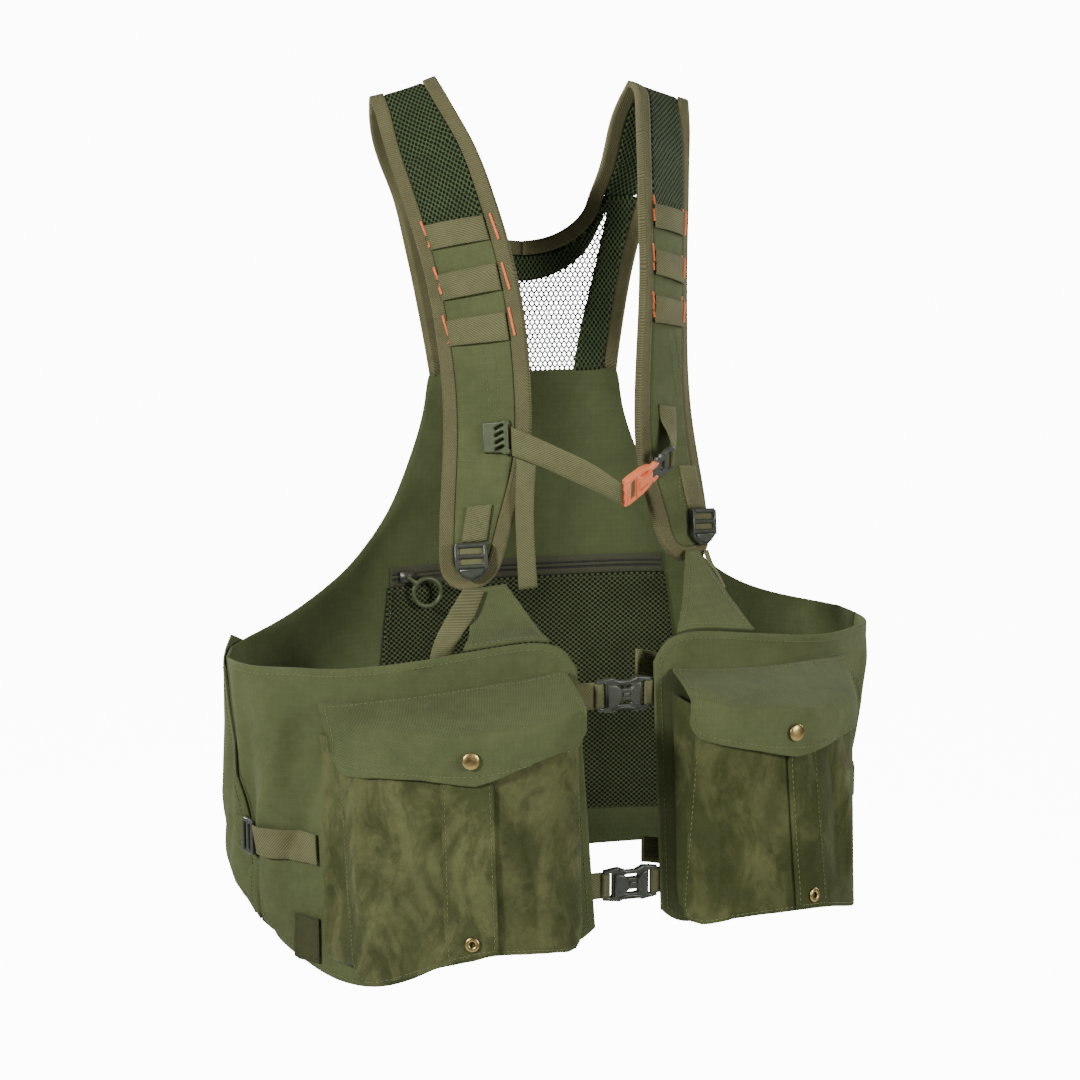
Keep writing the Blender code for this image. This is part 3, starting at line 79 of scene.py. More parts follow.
# node helpers: a value is either a plain number or colour, or another node's output
def feed(tree, value, target):
    if isinstance(value, bpy.types.NodeSocket):
        tree.links.new(value, target)
    else:
        target.default_value = value


def calc(tree, operation, first, second=0.0):
    node = tree.nodes.new("ShaderNodeMath")
    node.operation = operation
    feed(tree, first, node.inputs[0])
    feed(tree, second, node.inputs[1])
    return node.outputs[0]


def product(tree, first, second):
    return calc(tree, "MULTIPLY", first, second)


def blendColours(tree, amount, first, second):
    node = tree.nodes.new("ShaderNodeMix")
    node.data_type = "RGBA"
    # the colour sockets of this node come after those for numbers and vectors
    feed(tree, amount, node.inputs[0])
    feed(tree, first, node.inputs[6])
    feed(tree, second, node.inputs[7])
    return node.outputs[2]


def cloudy(tree, vector, scale, detail=3.0, roughness=0.55, distortion=0.0):
    node = tree.nodes.new("ShaderNodeTexNoise")
    feed(tree, vector, node.inputs["Vector"])
    node.inputs["Scale"].default_value = scale
    node.inputs["Detail"].default_value = detail
    node.inputs["Roughness"].default_value = roughness
    node.inputs["Distortion"].default_value = distortion
    return node.outputs[0]


def rampTo(tree, value, low, high):
    node = tree.nodes.new("ShaderNodeMapRange")
    node.interpolation_type = "SMOOTHSTEP"
    feed(tree, value, node.inputs["Value"])
    feed(tree, low, node.inputs["From Min"])
    feed(tree, high, node.inputs["From Max"])
    return node.outputs[0]


def startGroup(name, inputs, outputs):
    group = bpy.data.node_groups.new(name, "ShaderNodeTree")
    kinds = {"value": "NodeSocketFloat", "colour": "NodeSocketColor", "vector": "NodeSocketVector"}
    for label, kind, start in inputs:
        made = group.interface.new_socket(name=label, in_out="INPUT", socket_type=kinds[kind])
        if start is not None:
            made.default_value = start
    for label, kind in outputs:
        group.interface.new_socket(name=label, in_out="OUTPUT", socket_type=kinds[kind])
    return group, group.nodes.new("NodeGroupInput"), group.nodes.new("NodeGroupOutput")


def makeWeaveGroup():
    # threads across and along the cloth, plain or twill, with a heavier thread every few millimetres
    group, given, result = startGroup("thread weave", [
        ("Vector", "vector", None), ("Across", "value", 900.0), ("Along", "value", 900.0),
        ("Twill", "value", 0.0), ("Grid", "value", 200.0), ("Grid amount", "value", 0.0),
        ("Valley", "colour", (0.05, 0.05, 0.02, 1)), ("Crown", "colour", (0.1, 0.1, 0.05, 1)),
    ], [("Color", "colour"), ("Height", "value")])
    split = group.nodes.new("ShaderNodeSeparateXYZ")
    feed(group, given.outputs["Vector"], split.inputs[0])
    turnU = product(group, product(group, split.outputs[0], given.outputs["Across"]), 2 * math.pi)
    turnV = product(group, product(group, split.outputs[1], given.outputs["Along"]), 2 * math.pi)
    plain = product(group, calc(group, "SINE", turnU), calc(group, "SINE", turnV))
    twill = calc(group, "SINE", calc(group, "ADD", turnU, turnV))
    share = given.outputs["Twill"]
    wave = calc(group, "ADD", product(group, plain, calc(group, "SUBTRACT", 1.0, share)),
                product(group, twill, share))
    height = calc(group, "ADD", product(group, wave, 0.5), 0.5)
    lines = []
    for axis in (0, 1):
        cell = calc(group, "FRACT", product(group, split.outputs[axis], given.outputs["Grid"]))
        lines.append(rampTo(group, calc(group, "ABSOLUTE", calc(group, "SUBTRACT", cell, 0.5)), 0.38, 0.48))
    grid = product(group, calc(group, "MAXIMUM", lines[0], lines[1]), given.outputs["Grid amount"])
    raised = calc(group, "ADD", product(group, height, calc(group, "SUBTRACT", 1.0, grid)), grid)
    # the colour follows the relief: painted shade in the thread valleys, painted highlight on the crowns and
    # on the heavier threads
    mixed = blendColours(group, raised, given.outputs["Valley"], given.outputs["Crown"])
    feed(group, mixed, result.inputs["Color"])
    feed(group, raised, result.inputs["Height"])
    return group


def makeFadeGroup():
    # soft clouds of lighter and darker cloth
    group, given, result = startGroup("uneven dye", [
        ("Color", "colour", (0.1, 0.1, 0.05, 1)), ("Amount", "value", 0.3), ("Size", "value", 14.0),
    ], [("Color", "colour"), ("Clouds", "value")])
    place = group.nodes.new("ShaderNodeTexCoord")
    scaled = group.nodes.new("ShaderNodeVectorMath")
    scaled.operation = "SCALE"
    feed(group, place.outputs["Object"], scaled.inputs[0])
    feed(group, given.outputs["Size"], scaled.inputs["Scale"])
    wide = cloudy(group, scaled.outputs[0], 1.0, 4.0, 0.6)
    fine = cloudy(group, scaled.outputs[0], 9.0, 3.0, 0.6)
    both = calc(group, "ADD", product(group, wide, 0.7), product(group, fine, 0.3))
    clouds = rampTo(group, both, 0.32, 0.68)
    lift = product(group, calc(group, "SUBTRACT", clouds, 0.5), given.outputs["Amount"])
    tint = group.nodes.new("ShaderNodeHueSaturation")
    feed(group, given.outputs["Color"], tint.inputs["Color"])
    feed(group, calc(group, "ADD", 1.0, lift), tint.inputs["Value"])
    feed(group, tint.outputs[0], result.inputs["Color"])
    feed(group, clouds, result.inputs["Clouds"])
    return group


def makeHoleGroup():
    # staggered rounded holes of a spacer mesh, in metres of the cloth's own map
    group, given, result = startGroup("mesh cells", [
        ("Vector", "vector", None), ("Wide", "value", 300.0), ("Tall", "value", 220.0),
        ("Open", "value", 0.1),
    ], [("Hole", "value")])
    split = group.nodes.new("ShaderNodeSeparateXYZ")
    feed(group, given.outputs["Vector"], split.inputs[0])
    u = product(group, product(group, split.outputs[0], given.outputs["Wide"]), math.pi)
    v = product(group, product(group, split.outputs[1], given.outputs["Tall"]), math.pi)
    even = product(group, calc(group, "COSINE", u), calc(group, "COSINE", v))
    odd = product(group, calc(group, "SINE", u), calc(group, "SINE", v))
    cell = calc(group, "MAXIMUM", calc(group, "ABSOLUTE", even), calc(group, "ABSOLUTE", odd))
    edge = calc(group, "ADD", 0.55, given.outputs["Open"])
    feed(group, rampTo(group, cell, edge, calc(group, "ADD", edge, 0.22)), result.inputs["Hole"])
    return group


weaveGroup = makeWeaveGroup()
fadeGroup = makeFadeGroup()
holeGroup = makeHoleGroup()


def useGroup(tree, group, **values):
    node = tree.nodes.new("ShaderNodeGroup")
    node.node_tree = group
    for label, value in values.items():
        feed(tree, value, node.inputs[label.replace("_", " ")])
    return node


def startMaterial(name, roughness, metallic=0.0, sheen=0.0, specular=0.35):
    material = bpy.data.materials.new(name)
    material.use_nodes = True
    tree = material.node_tree
    shader = tree.nodes["Principled BSDF"]
    shader.inputs["Roughness"].default_value = roughness
    shader.inputs["Metallic"].default_value = metallic
    shader.inputs["Specular IOR Level"].default_value = specular
    shader.inputs["Sheen Weight"].default_value = sheen
    shader.inputs["Sheen Roughness"].default_value = 0.5
    return material, tree, shader


def addBump(tree, shader, height, strength, distance):
    bump = tree.nodes.new("ShaderNodeBump")
    bump.inputs["Strength"].default_value = strength
    bump.inputs["Distance"].default_value = distance
    feed(tree, height, bump.inputs["Height"])
    tree.links.new(bump.outputs[0], shader.inputs["Normal"])


def colour(rgb, factor=1.0):
    return (rgb[0] * factor, rgb[1] * factor, rgb[2] * factor, 1.0)


def clothMap(tree):
    place = tree.nodes.new("ShaderNodeUVMap")
    place.uv_map = "cloth"
    return place.outputs[0]


# woven cloths: dye, threads per metre, share of twill, heavier threads per metre and how far they
# show, painted shade in the thread valleys and painted highlight on the crowns, unevenness of the dye and
# its size, and strength of the relief
wovenCloths = {
    "ripstop": {
        "dye": (0.084, 0.099, 0.041), "across": 640, "along": 640, "twill": 0.0, "grid": 230,
        "gridAmount": 0.22, "weaveShade": 0.20, "uneven": 0.30, "cloud": 13, "bump": 0.4,
    },
    # a darker copy of the ripstop for the inside of the back: painted shade
    "ripstopInsideShaded": {
        "dye": (0.070, 0.086, 0.035), "across": 640, "along": 640, "twill": 0.0, "grid": 230,
        "gridAmount": 0.28, "weaveShade": 0.22, "uneven": 0.26, "cloud": 12, "bump": 0.4,
    },
    "binding": {
        "dye": (0.116, 0.108, 0.053), "across": 560, "along": 560, "twill": 0.9, "grid": 190,
        "gridAmount": 0.0, "weaveShade": 0.36, "uneven": 0.2, "cloud": 40, "bump": 0.5,
    },
    "webbing": {
        "dye": (0.124, 0.124, 0.060), "across": 420, "along": 560, "twill": 0.75, "grid": 190,
        "gridAmount": 0.0, "weaveShade": 0.38, "uneven": 0.2, "cloud": 50, "bump": 0.6,
    },
    "labelTape": {
        "dye": (0.050, 0.052, 0.024), "across": 900, "along": 900, "twill": 0.0, "grid": 190,
        "gridAmount": 0.0, "weaveShade": 0.3, "uneven": 0.2, "cloud": 60, "bump": 0.3,
    },
    "zipTape": {
        "dye": (0.055, 0.055, 0.034), "across": 900, "along": 450, "twill": 0.6, "grid": 190,
        "gridAmount": 0.0, "weaveShade": 0.35, "uneven": 0.2, "cloud": 50, "bump": 0.4,
    },
}


def makeWoven(name):
    given = wovenCloths[name]
    material, tree, shader = startMaterial(name, 0.92, sheen=0.03, specular=0.12)
    weave = useGroup(
        tree, weaveGroup, Vector=clothMap(tree), Across=given["across"], Along=given["along"],
        Twill=given["twill"], Grid=given["grid"], Grid_amount=given["gridAmount"],
        # Valley and Crown carry the painted shade and painted highlight of the threads
        Valley=colour(given["dye"], 1 - given["weaveShade"]),
        Crown=colour(given["dye"], 1 + given["weaveShade"]),
    )
    fade = useGroup(tree, fadeGroup, Color=weave.outputs["Color"], Amount=given["uneven"],
                    Size=given["cloud"])
    tree.links.new(fade.outputs["Color"], shader.inputs["Base Color"])
    addBump(tree, shader, weave.outputs["Height"], given["bump"], 0.00035)
    return material


# suede: dye, colour of its brushed patches, and the noise value from which they are full
suedeLook = {
    "suedeRight": {"dye": (0.098, 0.104, 0.043), "dark": (0.040, 0.048, 0.017), "patch": 0.58},
    # the copy for the left pocket is a darker version of the same suede: painted shade
    "suedeLeftShaded": {"dye": (0.080, 0.087, 0.034), "dark": (0.034, 0.041, 0.013), "patch": 0.54},
}


def makeSuede(name):
    given = suedeLook[name]
    material, tree, shader = startMaterial(name, 0.96, sheen=0.05, specular=0.06)
    place = tree.nodes.new("ShaderNodeTexCoord")
    brushed = tree.nodes.new("ShaderNodeMapping")
    brushed.inputs["Scale"].default_value = (1.0, 1.0, 0.62)
    brushed.inputs["Rotation"].default_value = (0.0, 0.45, 0.0)
    tree.links.new(place.outputs["Object"], brushed.inputs["Vector"])
    patches = cloudy(tree, brushed.outputs[0], 26.0, 5.0, 0.62, 0.9)
    streaks = cloudy(tree, brushed.outputs[0], 85.0, 3.0, 0.6, 0.4)
    mask = calc(tree, "ADD", product(tree, patches, 0.8), product(tree, streaks, 0.2))
    light = rampTo(tree, mask, given["patch"], given["patch"] - 0.17)
    base = blendColours(tree, product(tree, calc(tree, "SUBTRACT", 1.0, light), 0.75),
                        colour(given["dye"]), colour(given["dark"]))
    fade = useGroup(tree, fadeGroup, Color=base, Amount=0.35, Size=34.0)
    tree.links.new(fade.outputs["Color"], shader.inputs["Base Color"])
    nap = cloudy(tree, place.outputs["Object"], 900.0, 2.0, 0.7)
    addBump(tree, shader, calc(tree, "ADD", product(tree, nap, 0.6), streaks), 0.5, 0.0008)
    return material


# meshes: dye, painted shade in the holes, holes per metre across and along, and how much smaller they are
cellCloths = {
    "airMesh": {
        "dye": (0.060, 0.086, 0.036), "holeShade": (0.006, 0.010, 0.004), "wide": 290, "tall": 200, "open": 0.02,
    },
    "meshPocket": {
        "dye": (0.066, 0.080, 0.034), "holeShade": (0.005, 0.007, 0.003), "wide": 210, "tall": 260, "open": 0.0,
    },
}


def makeCells(name):
    given = cellCloths[name]
    material, tree, shader = startMaterial(name, 0.88, sheen=0.02, specular=0.12)
    cells = useGroup(tree, holeGroup, Vector=clothMap(tree), Wide=given["wide"], Tall=given["tall"],
                     Open=given["open"])
    fade = useGroup(tree, fadeGroup, Color=colour(given["dye"]), Amount=0.3, Size=40.0)
    # the holes are filled with a near-black colour: painted shade
    mixed = blendColours(tree, cells.outputs["Hole"], fade.outputs["Color"], colour(given["holeShade"]))
    tree.links.new(mixed, shader.inputs["Base Color"])
    addBump(tree, shader, calc(tree, "SUBTRACT", 1.0, cells.outputs["Hole"]), 0.9, 0.0012)
    return material


# plastics, metals and threads: colour, roughness, metal share and unevenness
hardFinishes = {
    "orangePlastic": {"tone": (0.90, 0.22, 0.085), "rough": 0.40, "metal": 0.0, "uneven": 0.12},
    "greyPlastic": {"tone": (0.045, 0.050, 0.036), "rough": 0.38, "metal": 0.0, "uneven": 0.2},
    "olivePlastic": {"tone": (0.050, 0.066, 0.022), "rough": 0.42, "metal": 0.0, "uneven": 0.2},
    "brass": {"tone": (0.42, 0.31, 0.12), "rough": 0.34, "metal": 1.0, "uneven": 0.5},
    "zipMetal": {"tone": (0.085, 0.080, 0.066), "rough": 0.42, "metal": 0.6, "uneven": 0.3},
    # near black strips beside the zip's ridge: painted shade
    "zipGrooveShade": {"tone": (0.010, 0.010, 0.008), "rough": 0.6, "metal": 0.0, "uneven": 0.2},
    "threadOlive": {"tone": (0.135, 0.148, 0.064), "rough": 0.85, "metal": 0.0, "uneven": 0.2},
    "threadDark": {"tone": (0.060, 0.066, 0.030), "rough": 0.85, "metal": 0.0, "uneven": 0.2},
    "threadOrange": {"tone": (0.85, 0.21, 0.07), "rough": 0.75, "metal": 0.0, "uneven": 0.15},
    "netCord": {"tone": (0.030, 0.040, 0.022), "rough": 0.85, "metal": 0.0, "uneven": 0.2},
}


def makeHard(name):
    given = hardFinishes[name]
    material, tree, shader = startMaterial(name, given["rough"], metallic=given["metal"], specular=0.5)
    fade = useGroup(tree, fadeGroup, Color=colour(given["tone"]), Amount=given["uneven"], Size=180.0)
    tree.links.new(fade.outputs["Color"], shader.inputs["Base Color"])
    rough = calc(tree, "ADD", given["rough"] - 0.06, product(tree, fade.outputs["Clouds"], 0.14))
    tree.links.new(rough, shader.inputs["Roughness"])
    place = tree.nodes.new("ShaderNodeTexCoord")
    addBump(tree, shader, cloudy(tree, place.outputs["Object"], 2200.0, 2.0), 0.12, 0.0002)
    return material


looks = {name: makeWoven(name) for name in wovenCloths}
looks.update({name: makeSuede(name) for name in suedeLook})
looks.update({name: makeCells(name) for name in cellCloths})
looks.update({name: makeHard(name) for name in hardFinishes})
print("materials made:", len(looks))

# plan of the body, used to lay cloth maps and folds round it
bodyPlan = {"halfWidth": 0.245, "backDepth": 0.095, "frontDepth": 0.130, "sideLine": -0.065}


def bodyDepth(points):
    # distance behind the side line, and the plan's own depth on that side
    depth = points[:, 1] - bodyPlan["sideLine"]
    return depth, np.where(depth > 0, bodyPlan["backDepth"], bodyPlan["frontDepth"])


def roundAngle(points):
    # degrees from the centre back, negative on the right
    depth, reach = bodyDepth(points)
    return np.degrees(np.arctan2(points[:, 0] / bodyPlan["halfWidth"], depth / reach))


def lengthsAlong(line):
    return np.concatenate([[0.0], np.cumsum(np.linalg.norm(np.diff(line, axis=0), axis=1))])


def roundTable():
    turns = np.radians(np.linspace(-180, 180, 1441))
    reach = np.where(np.cos(turns) > 0, bodyPlan["backDepth"], bodyPlan["frontDepth"])
    lengths = lengthsAlong(np.stack([np.sin(turns) * bodyPlan["halfWidth"], np.cos(turns) * reach], 1))
    return np.degrees(turns), lengths - lengths[-1] / 2


arcTurns, arcLengths = roundTable()


def unit(vectors):
    return vectors / np.maximum(np.linalg.norm(vectors, axis=-1, keepdims=True), 1e-9)


def outwardFromBody(points):
    depth, reach = bodyDepth(points)
    across = points[:, 0] / bodyPlan["halfWidth"] ** 2
    return unit(np.stack([across, depth / reach ** 2, np.zeros(len(points))], 1))


def mapRound(points):
    return np.stack([np.interp(roundAngle(points), arcTurns, arcLengths), points[:, 2]], 1)


def mapFlat(points):
    return points[:, [0, 2]]


def mapByLength(points):
    # the longest direction of the piece is its length
    centred = points - points.mean(0)
    axes = np.linalg.svd(centred[:: max(1, len(centred) // 400)], full_matrices=False)[2]
    return np.stack([centred @ axes[1], centred @ axes[0]], 1)


# strap sections over the shoulder: neck edge and arm edge, in millimetres
strapSections = np.array([
    (54, 29, -70, 101, 28, -70), (60, 25, -50, 113, 24, -48), (63, 19, -27, 121, 19, -27),
    (67, 11, 2, 124.5, 13, -7), (80, -3, 22, 124, 5, 4), (73, -31, -3, 121, -8, -20),
    (65, -58, -30, 117, -17, -40), (59, -78, -61, 110, -35, -72), (54, -94, -90, 104, -49, -102),
    (50, -108, -120, 99, -62, -134), (46, -116, -156, 96, -71, -166), (43, -119, -195, 94, -79, -200),
    (42, -120, -230, 95, -86, -234), (44, -119, -256, 98, -92, -262), (51, -118, -281, 101, -97, -287),
    (58, -118, -306, 103, -101, -310), (64, -120, -328, 104, -104, -331), (70, -123, -350, 105, -108, -352),
], float) * mm


def strapFrame(points):
    # distance along the strap, and place across it, from the nearest section of the middle line
    mirrored = points * np.array([-1.0 if points[:, 0].mean() < 0 else 1.0, 1, 1])
    neck, arm = strapSections[:, :3], strapSections[:, 3:]
    steps = np.linspace(0, len(neck) - 1, 400)
    index = np.arange(len(neck))
    neckLine = np.stack([np.interp(steps, index, neck[:, k]) for k in range(3)], 1)
    armLine = np.stack([np.interp(steps, index, arm[:, k]) for k in range(3)], 1)
    middle = (neckLine + armLine) / 2
    nearest = np.argmin(((mirrored[:, None, :] - middle[None]) ** 2).sum(2), axis=1)
    beside = mirrored - middle[nearest]
    offset = (beside * unit(armLine - neckLine)[nearest]).sum(1)
    rest = (beside * unit(np.gradient(middle, axis=0))[nearest]).sum(1)
    return lengthsAlong(middle)[nearest] + rest, offset


def mapStrap(points):
    along, offset = strapFrame(points)
    return np.stack([offset, along], 1)


maps = {"round": mapRound, "flat": mapFlat, "length": mapByLength, "strap": mapStrap}


# pieces of cloth on the forms of their solids
def weldedCopy(nodeName):
    bm = bmesh.new()
    bm.from_mesh(nodes[nodeName].data)
    bmesh.ops.remove_doubles(bm, verts=bm.verts, dist=2e-6)
    bmesh.ops.join_triangles(bm, faces=bm.faces, angle_face_threshold=0.7, angle_shape_threshold=1.2)
    return bm


def freshNormals(mesh):
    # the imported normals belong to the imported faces
    for label in ("custom_normal", "sharp_face", "sharp_edge"):
        layer = mesh.attributes.get(label)
        if layer:
            mesh.attributes.remove(layer)


def settle(piece):
    # modifiers become the mesh itself
    baked = bpy.data.meshes.new_from_object(piece.evaluated_get(bpy.context.evaluated_depsgraph_get()))
    piece.modifiers.clear()
    worn = piece.data
    piece.data = baked
    bpy.data.meshes.remove(worn)


def coordinates(mesh):
    flat = np.zeros(len(mesh.vertices) * 3)
    mesh.vertices.foreach_get("co", flat)
    return flat.reshape(-1, 3)


def writeCoordinates(mesh, points):
    mesh.vertices.foreach_set("co", points.astype(np.float32).ravel())
    mesh.update()


def writeMap(mesh, points, lay):
    layer = mesh.uv_layers.get("cloth") or mesh.uv_layers.new(name="cloth")
    corners = np.zeros(len(mesh.loops), int)
    mesh.loops.foreach_get("vertex_index", corners)
    layer.data.foreach_set("uv", maps[lay](points)[corners].astype(np.float32).ravel())


def meshOf(title, corners, faces):
    mesh = bpy.data.meshes.new(title)
    mesh.from_pydata(corners, [], faces)
    mesh.update()
    mesh.polygons.foreach_set("use_smooth", [True] * len(mesh.polygons))
    return mesh


def newPiece(title, mesh, look, body="vest"):
    piece = bpy.data.objects.new(title, mesh)
    sceneHome.objects.link(piece)
    mesh.materials.clear()
    mesh.materials.append(looks[look])
    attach(piece, body)
    return piece


def roundedPiece(bm, title, look, levels, body="vest"):
    # a piece on the welded form of a solid, with its faces rounded
    for face in bm.faces:
        face.smooth = True
    mesh = bpy.data.meshes.new(title)
    bm.to_mesh(mesh)
    bm.free()
    freshNormals(mesh)
    piece = newPiece(title, mesh, look, body)
    rounding = piece.modifiers.new("rounding", "SUBSURF")
    rounding.levels = levels
    rounding.render_levels = levels
    settle(piece)
    return piece


# folds in the body cloth: angle and height of one end, angle and height of the other, half width,
# and depth, which is below zero for a trough, in degrees and millimetres
bodyFolds = {
    "strength": 2.1,
    "rows": [
        (-128, -425, -116, -560, 9, -2.6), (-117, -405, -108, -520, 8, 2.0),
        (-106, -430, -97, -560, 10, -2.8), (-98, -400, -96, -500, 7, 1.6),
        (-92, -440, -88, -555, 9, -2.0), (-122, -560, -108, -596, 7, -1.8),
        (-75, -430, -60, -520, 12, -2.4), (-52, -470, -40, -560, 11, 2.2), (-84, -500, -66, -560, 9, -1.8),
        (98, -420, 106, -520, 9, -2.4), (110, -400, 118, -500, 8, 2.0), (122, -430, 131, -555, 9, -2.6),
        (90, -450, 84, -550, 9, 2.0), (70, -430, 58, -530, 12, -2.4), (50, -480, 38, -560, 11, 2.0),
        (-30, -420, -12, -470, 12, -2.0), (26, -430, 8, -480, 12, -1.8), (-18, -520, 6, -566, 10, -1.6),
        (18, -300, 30, -372, 9, -1.6), (-24, -290, -38, -366, 9, -1.5), (-6, -232, 4, -322, 12, 1.4),
        (-172, -392, -158, -400, 5, -0.9), (-150, -378, -140, -384, 5, 0.8), (148, -382, 166, -390, 5, -0.9),
    ],
}


foldRounding = 0.9 * mm


def oneFold(places, start, end, width, depth, fade, wander, phase):
    # places, start and end lie in the cloth's own plane; fade is where the ends start to flatten out
    span = end - start
    beside = places - start
    share = beside @ span / (span @ span)
    aside = (beside[:, 0] * span[1] - beside[:, 1] * span[0]) / np.linalg.norm(span)
    aside = aside + wander[0] * np.sin(share * wander[1] + phase)
    taper = np.exp(-np.clip(np.abs(share - 0.5) - fade[0], 0, None) ** 2 / fade[1])
    if depth < 0:
        # troughs are creased, ridges are round
        shape = np.exp(-np.sqrt(aside ** 2 + foldRounding ** 2) / (0.85 * width))
    else:
        shape = np.exp(-(aside / width) ** 2)
    return depth * taper * shape


def foldRelief(points):
    places = mapRound(points)
    relief = np.zeros(len(points))
    for angle1, height1, angle2, height2, width, depth in bodyFolds["rows"]:
        start, end = (np.array([np.interp(angle, arcTurns, arcLengths), height * mm])
                      for angle, height in ((angle1, height1), (angle2, height2)))
        relief += oneFold(places, start, end, width * mm, depth, (0.28, 0.045), (0.004, 5.0), angle1)
    return relief * bodyFolds["strength"] * mm


def ripple(points, size, seed, waves=9):
    # small unevenness of cloth, made of a few waves that are the same in each run
    made = np.random.default_rng(seed)
    total = np.zeros(len(points))
    for _ in range(waves):
        wave = unit(made.normal(size=3))
        turns = 2 * math.pi / (size * made.uniform(0.6, 1.6))
        total += np.sin(points @ wave * turns + made.uniform(0, 6.28))
    return total / waves


# every cloth piece: solid, look, map, levels of smoothing, small unevenness in millimetres,
# growth over the seam in millimetres, cut in metres, share of the cut's rectangle, record's slot
clothPieces = {
    "back_panel": ("ripstopInsideShaded", "round", 2, 0.6, 0.5, (0.66, 0.40), 0.60, "ripstop"),
    "game_pouch": ("ripstop", "round", 2, 1.2, 0.0, (0.62, 0.20), 0.95, "ripstop"),
    "front_panel_right": ("ripstop", "round", 2, 0.6, 0.0, (0.28, 0.245), 0.84, "ripstop"),
    "front_panel_left": ("ripstop", "round", 2, 0.6, 0.0, (0.27, 0.225), 0.85, "ripstop"),
    "chest_tab_right": ("ripstop", "flat", 3, 0.6, 0.2, (0.062, 0.072), 0.70, "ripstop"),
    "chest_tab_left": ("ripstop", "flat", 3, 0.6, 0.2, (0.062, 0.072), 0.70, "ripstop"),
    "flap_right": ("ripstop", "flat", 3, 0.5, 0.0, (0.190, 0.078), 0.98, "ripstop"),
    "flap_left": ("ripstop", "flat", 3, 0.5, 0.0, (0.185, 0.078), 0.98, "ripstop"),
    "side_tab_right": ("ripstop", "round", 2, 0.2, 0.0, (0.013, 0.022), 1.0, "ripstop"),
    "side_tab_left": ("ripstop", "round", 2, 0.2, 0.0, (0.013, 0.022), 1.0, "ripstop"),
    "label": ("labelTape", "round", 2, 0.2, 0.0, (0.018, 0.033), 1.0, "label_tape"),
    "yoke_frame": ("airMesh", "flat", 2, 0.3, 0.7, (0.200, 0.135), 0.32, "air_mesh"),
    "mesh_pocket": ("meshPocket", "round", 2, 0.3, 0.0, (0.285, 0.195), 0.90, "air_mesh"),
    "pocket_face_right": ("suedeRight", "flat", 3, 0.8, 0.0, (0.185, 0.185), 0.92, "suede"),
    "pocket_face_left": ("suedeLeftShaded", "flat", 3, 0.8, 0.0, (0.180, 0.165), 0.95, "suede"),
    "pocket_gusset_right": ("suedeRight", "flat", 2, 0.8, 0.0, (0.530, 0.036), 0.90, "suede"),
    "pocket_gusset_left": ("suedeLeftShaded", "flat", 2, 0.8, 0.0, (0.500, 0.040), 0.95, "suede"),
    "pocket_strip_right": ("suedeRight", "flat", 3, 0.3, 0.0, (0.034, 0.155), 1.0, "suede"),
    "pocket_strip_left": ("suedeLeftShaded", "flat", 3, 0.3, 0.0, (0.029, 0.145), 1.0, "suede"),
    "zip_tape": ("zipTape", "round", 2, 0.1, 0.0, (0.015, 0.224), 1.0, "zip"),
}
# webbing: width and length of each piece in metres
webbingPieces = {
    "lock_patch_right": (0.018, 0.026), "lock_patch_left": (0.018, 0.033),
    "adjuster_tail_right": (0.016, 0.090), "adjuster_tail_left": (0.015, 0.033),
    "sternum_webbing": (0.019, 0.084), "sternum_tail": (0.013, 0.096), "sternum_loop": (0.018, 0.042),
    "front_webbing_upper_right": (0.019, 0.028), "front_webbing_upper_left": (0.019, 0.066),
    "front_webbing_lower_right": (0.019, 0.024), "front_webbing_lower_left": (0.019, 0.066),
    "side_webbing_right": (0.020, 0.058), "side_webbing_left": (0.020, 0.030),
}
bandLevels = ("upper", "middle", "lower")


# a wall's edge is sharp from this angle, and a cut end is flat and smaller than this
sharpAngle = 0.9
cutEnd = {"area": 45e-6, "flatness": 0.97}
straightOutline = -0.93     # cosine between the two rims at a point, where the outline runs on


def faceGroups(bm):
    # faces joined without a sharp edge between them
    bm.faces.ensure_lookup_table()
    groupOf = {}
    groups = []
    for face in bm.faces:
        if face.index in groupOf:
            continue
        queue = [face]
        groupOf[face.index] = len(groups)
        members = []
        while queue:
            current = queue.pop()
            members.append(current)
            for edge in current.edges:
                if edge.calc_face_angle(0.0) > sharpAngle:
                    continue
                for other in edge.link_faces:
                    if other.index not in groupOf:
                        groupOf[other.index] = len(groups)
                        queue.append(other)
        groups.append(members)
    return groupOf, groups


def markCreases(bm, crease, corners):
    # sharp edges of the wall stay firm, corners of the outline stay corners, cut ends stay square
    edgeLayer = bm.edges.layers.float.new("crease_edge")
    cornerLayer = bm.verts.layers.float.new("crease_vert")
    for edge in bm.edges:
        if len(edge.link_faces) == 2 and edge.calc_face_angle(0.0) > sharpAngle:
            edge[edgeLayer] = crease
    for members in faceGroups(bm)[1]:
        area = sum(face.calc_area() for face in members)
        flat = all(face.normal.dot(members[0].normal) > cutEnd["flatness"] for face in members)
        if area < cutEnd["area"] and flat:
            for edge in {edge for face in members for edge in face.edges if edge[edgeLayer] > 0}:
                edge[edgeLayer] = 1.0
    for vert in bm.verts if corners else []:
        rims = [(edge.other_vert(vert).co - vert.co).normalized()
                for edge in vert.link_edges if edge[edgeLayer] > 0]
        turns = [first.dot(last) for place, first in enumerate(rims) for last in rims[place + 1:]]
        if turns and min(turns) > straightOutline:
            vert[cornerLayer] = 1.0


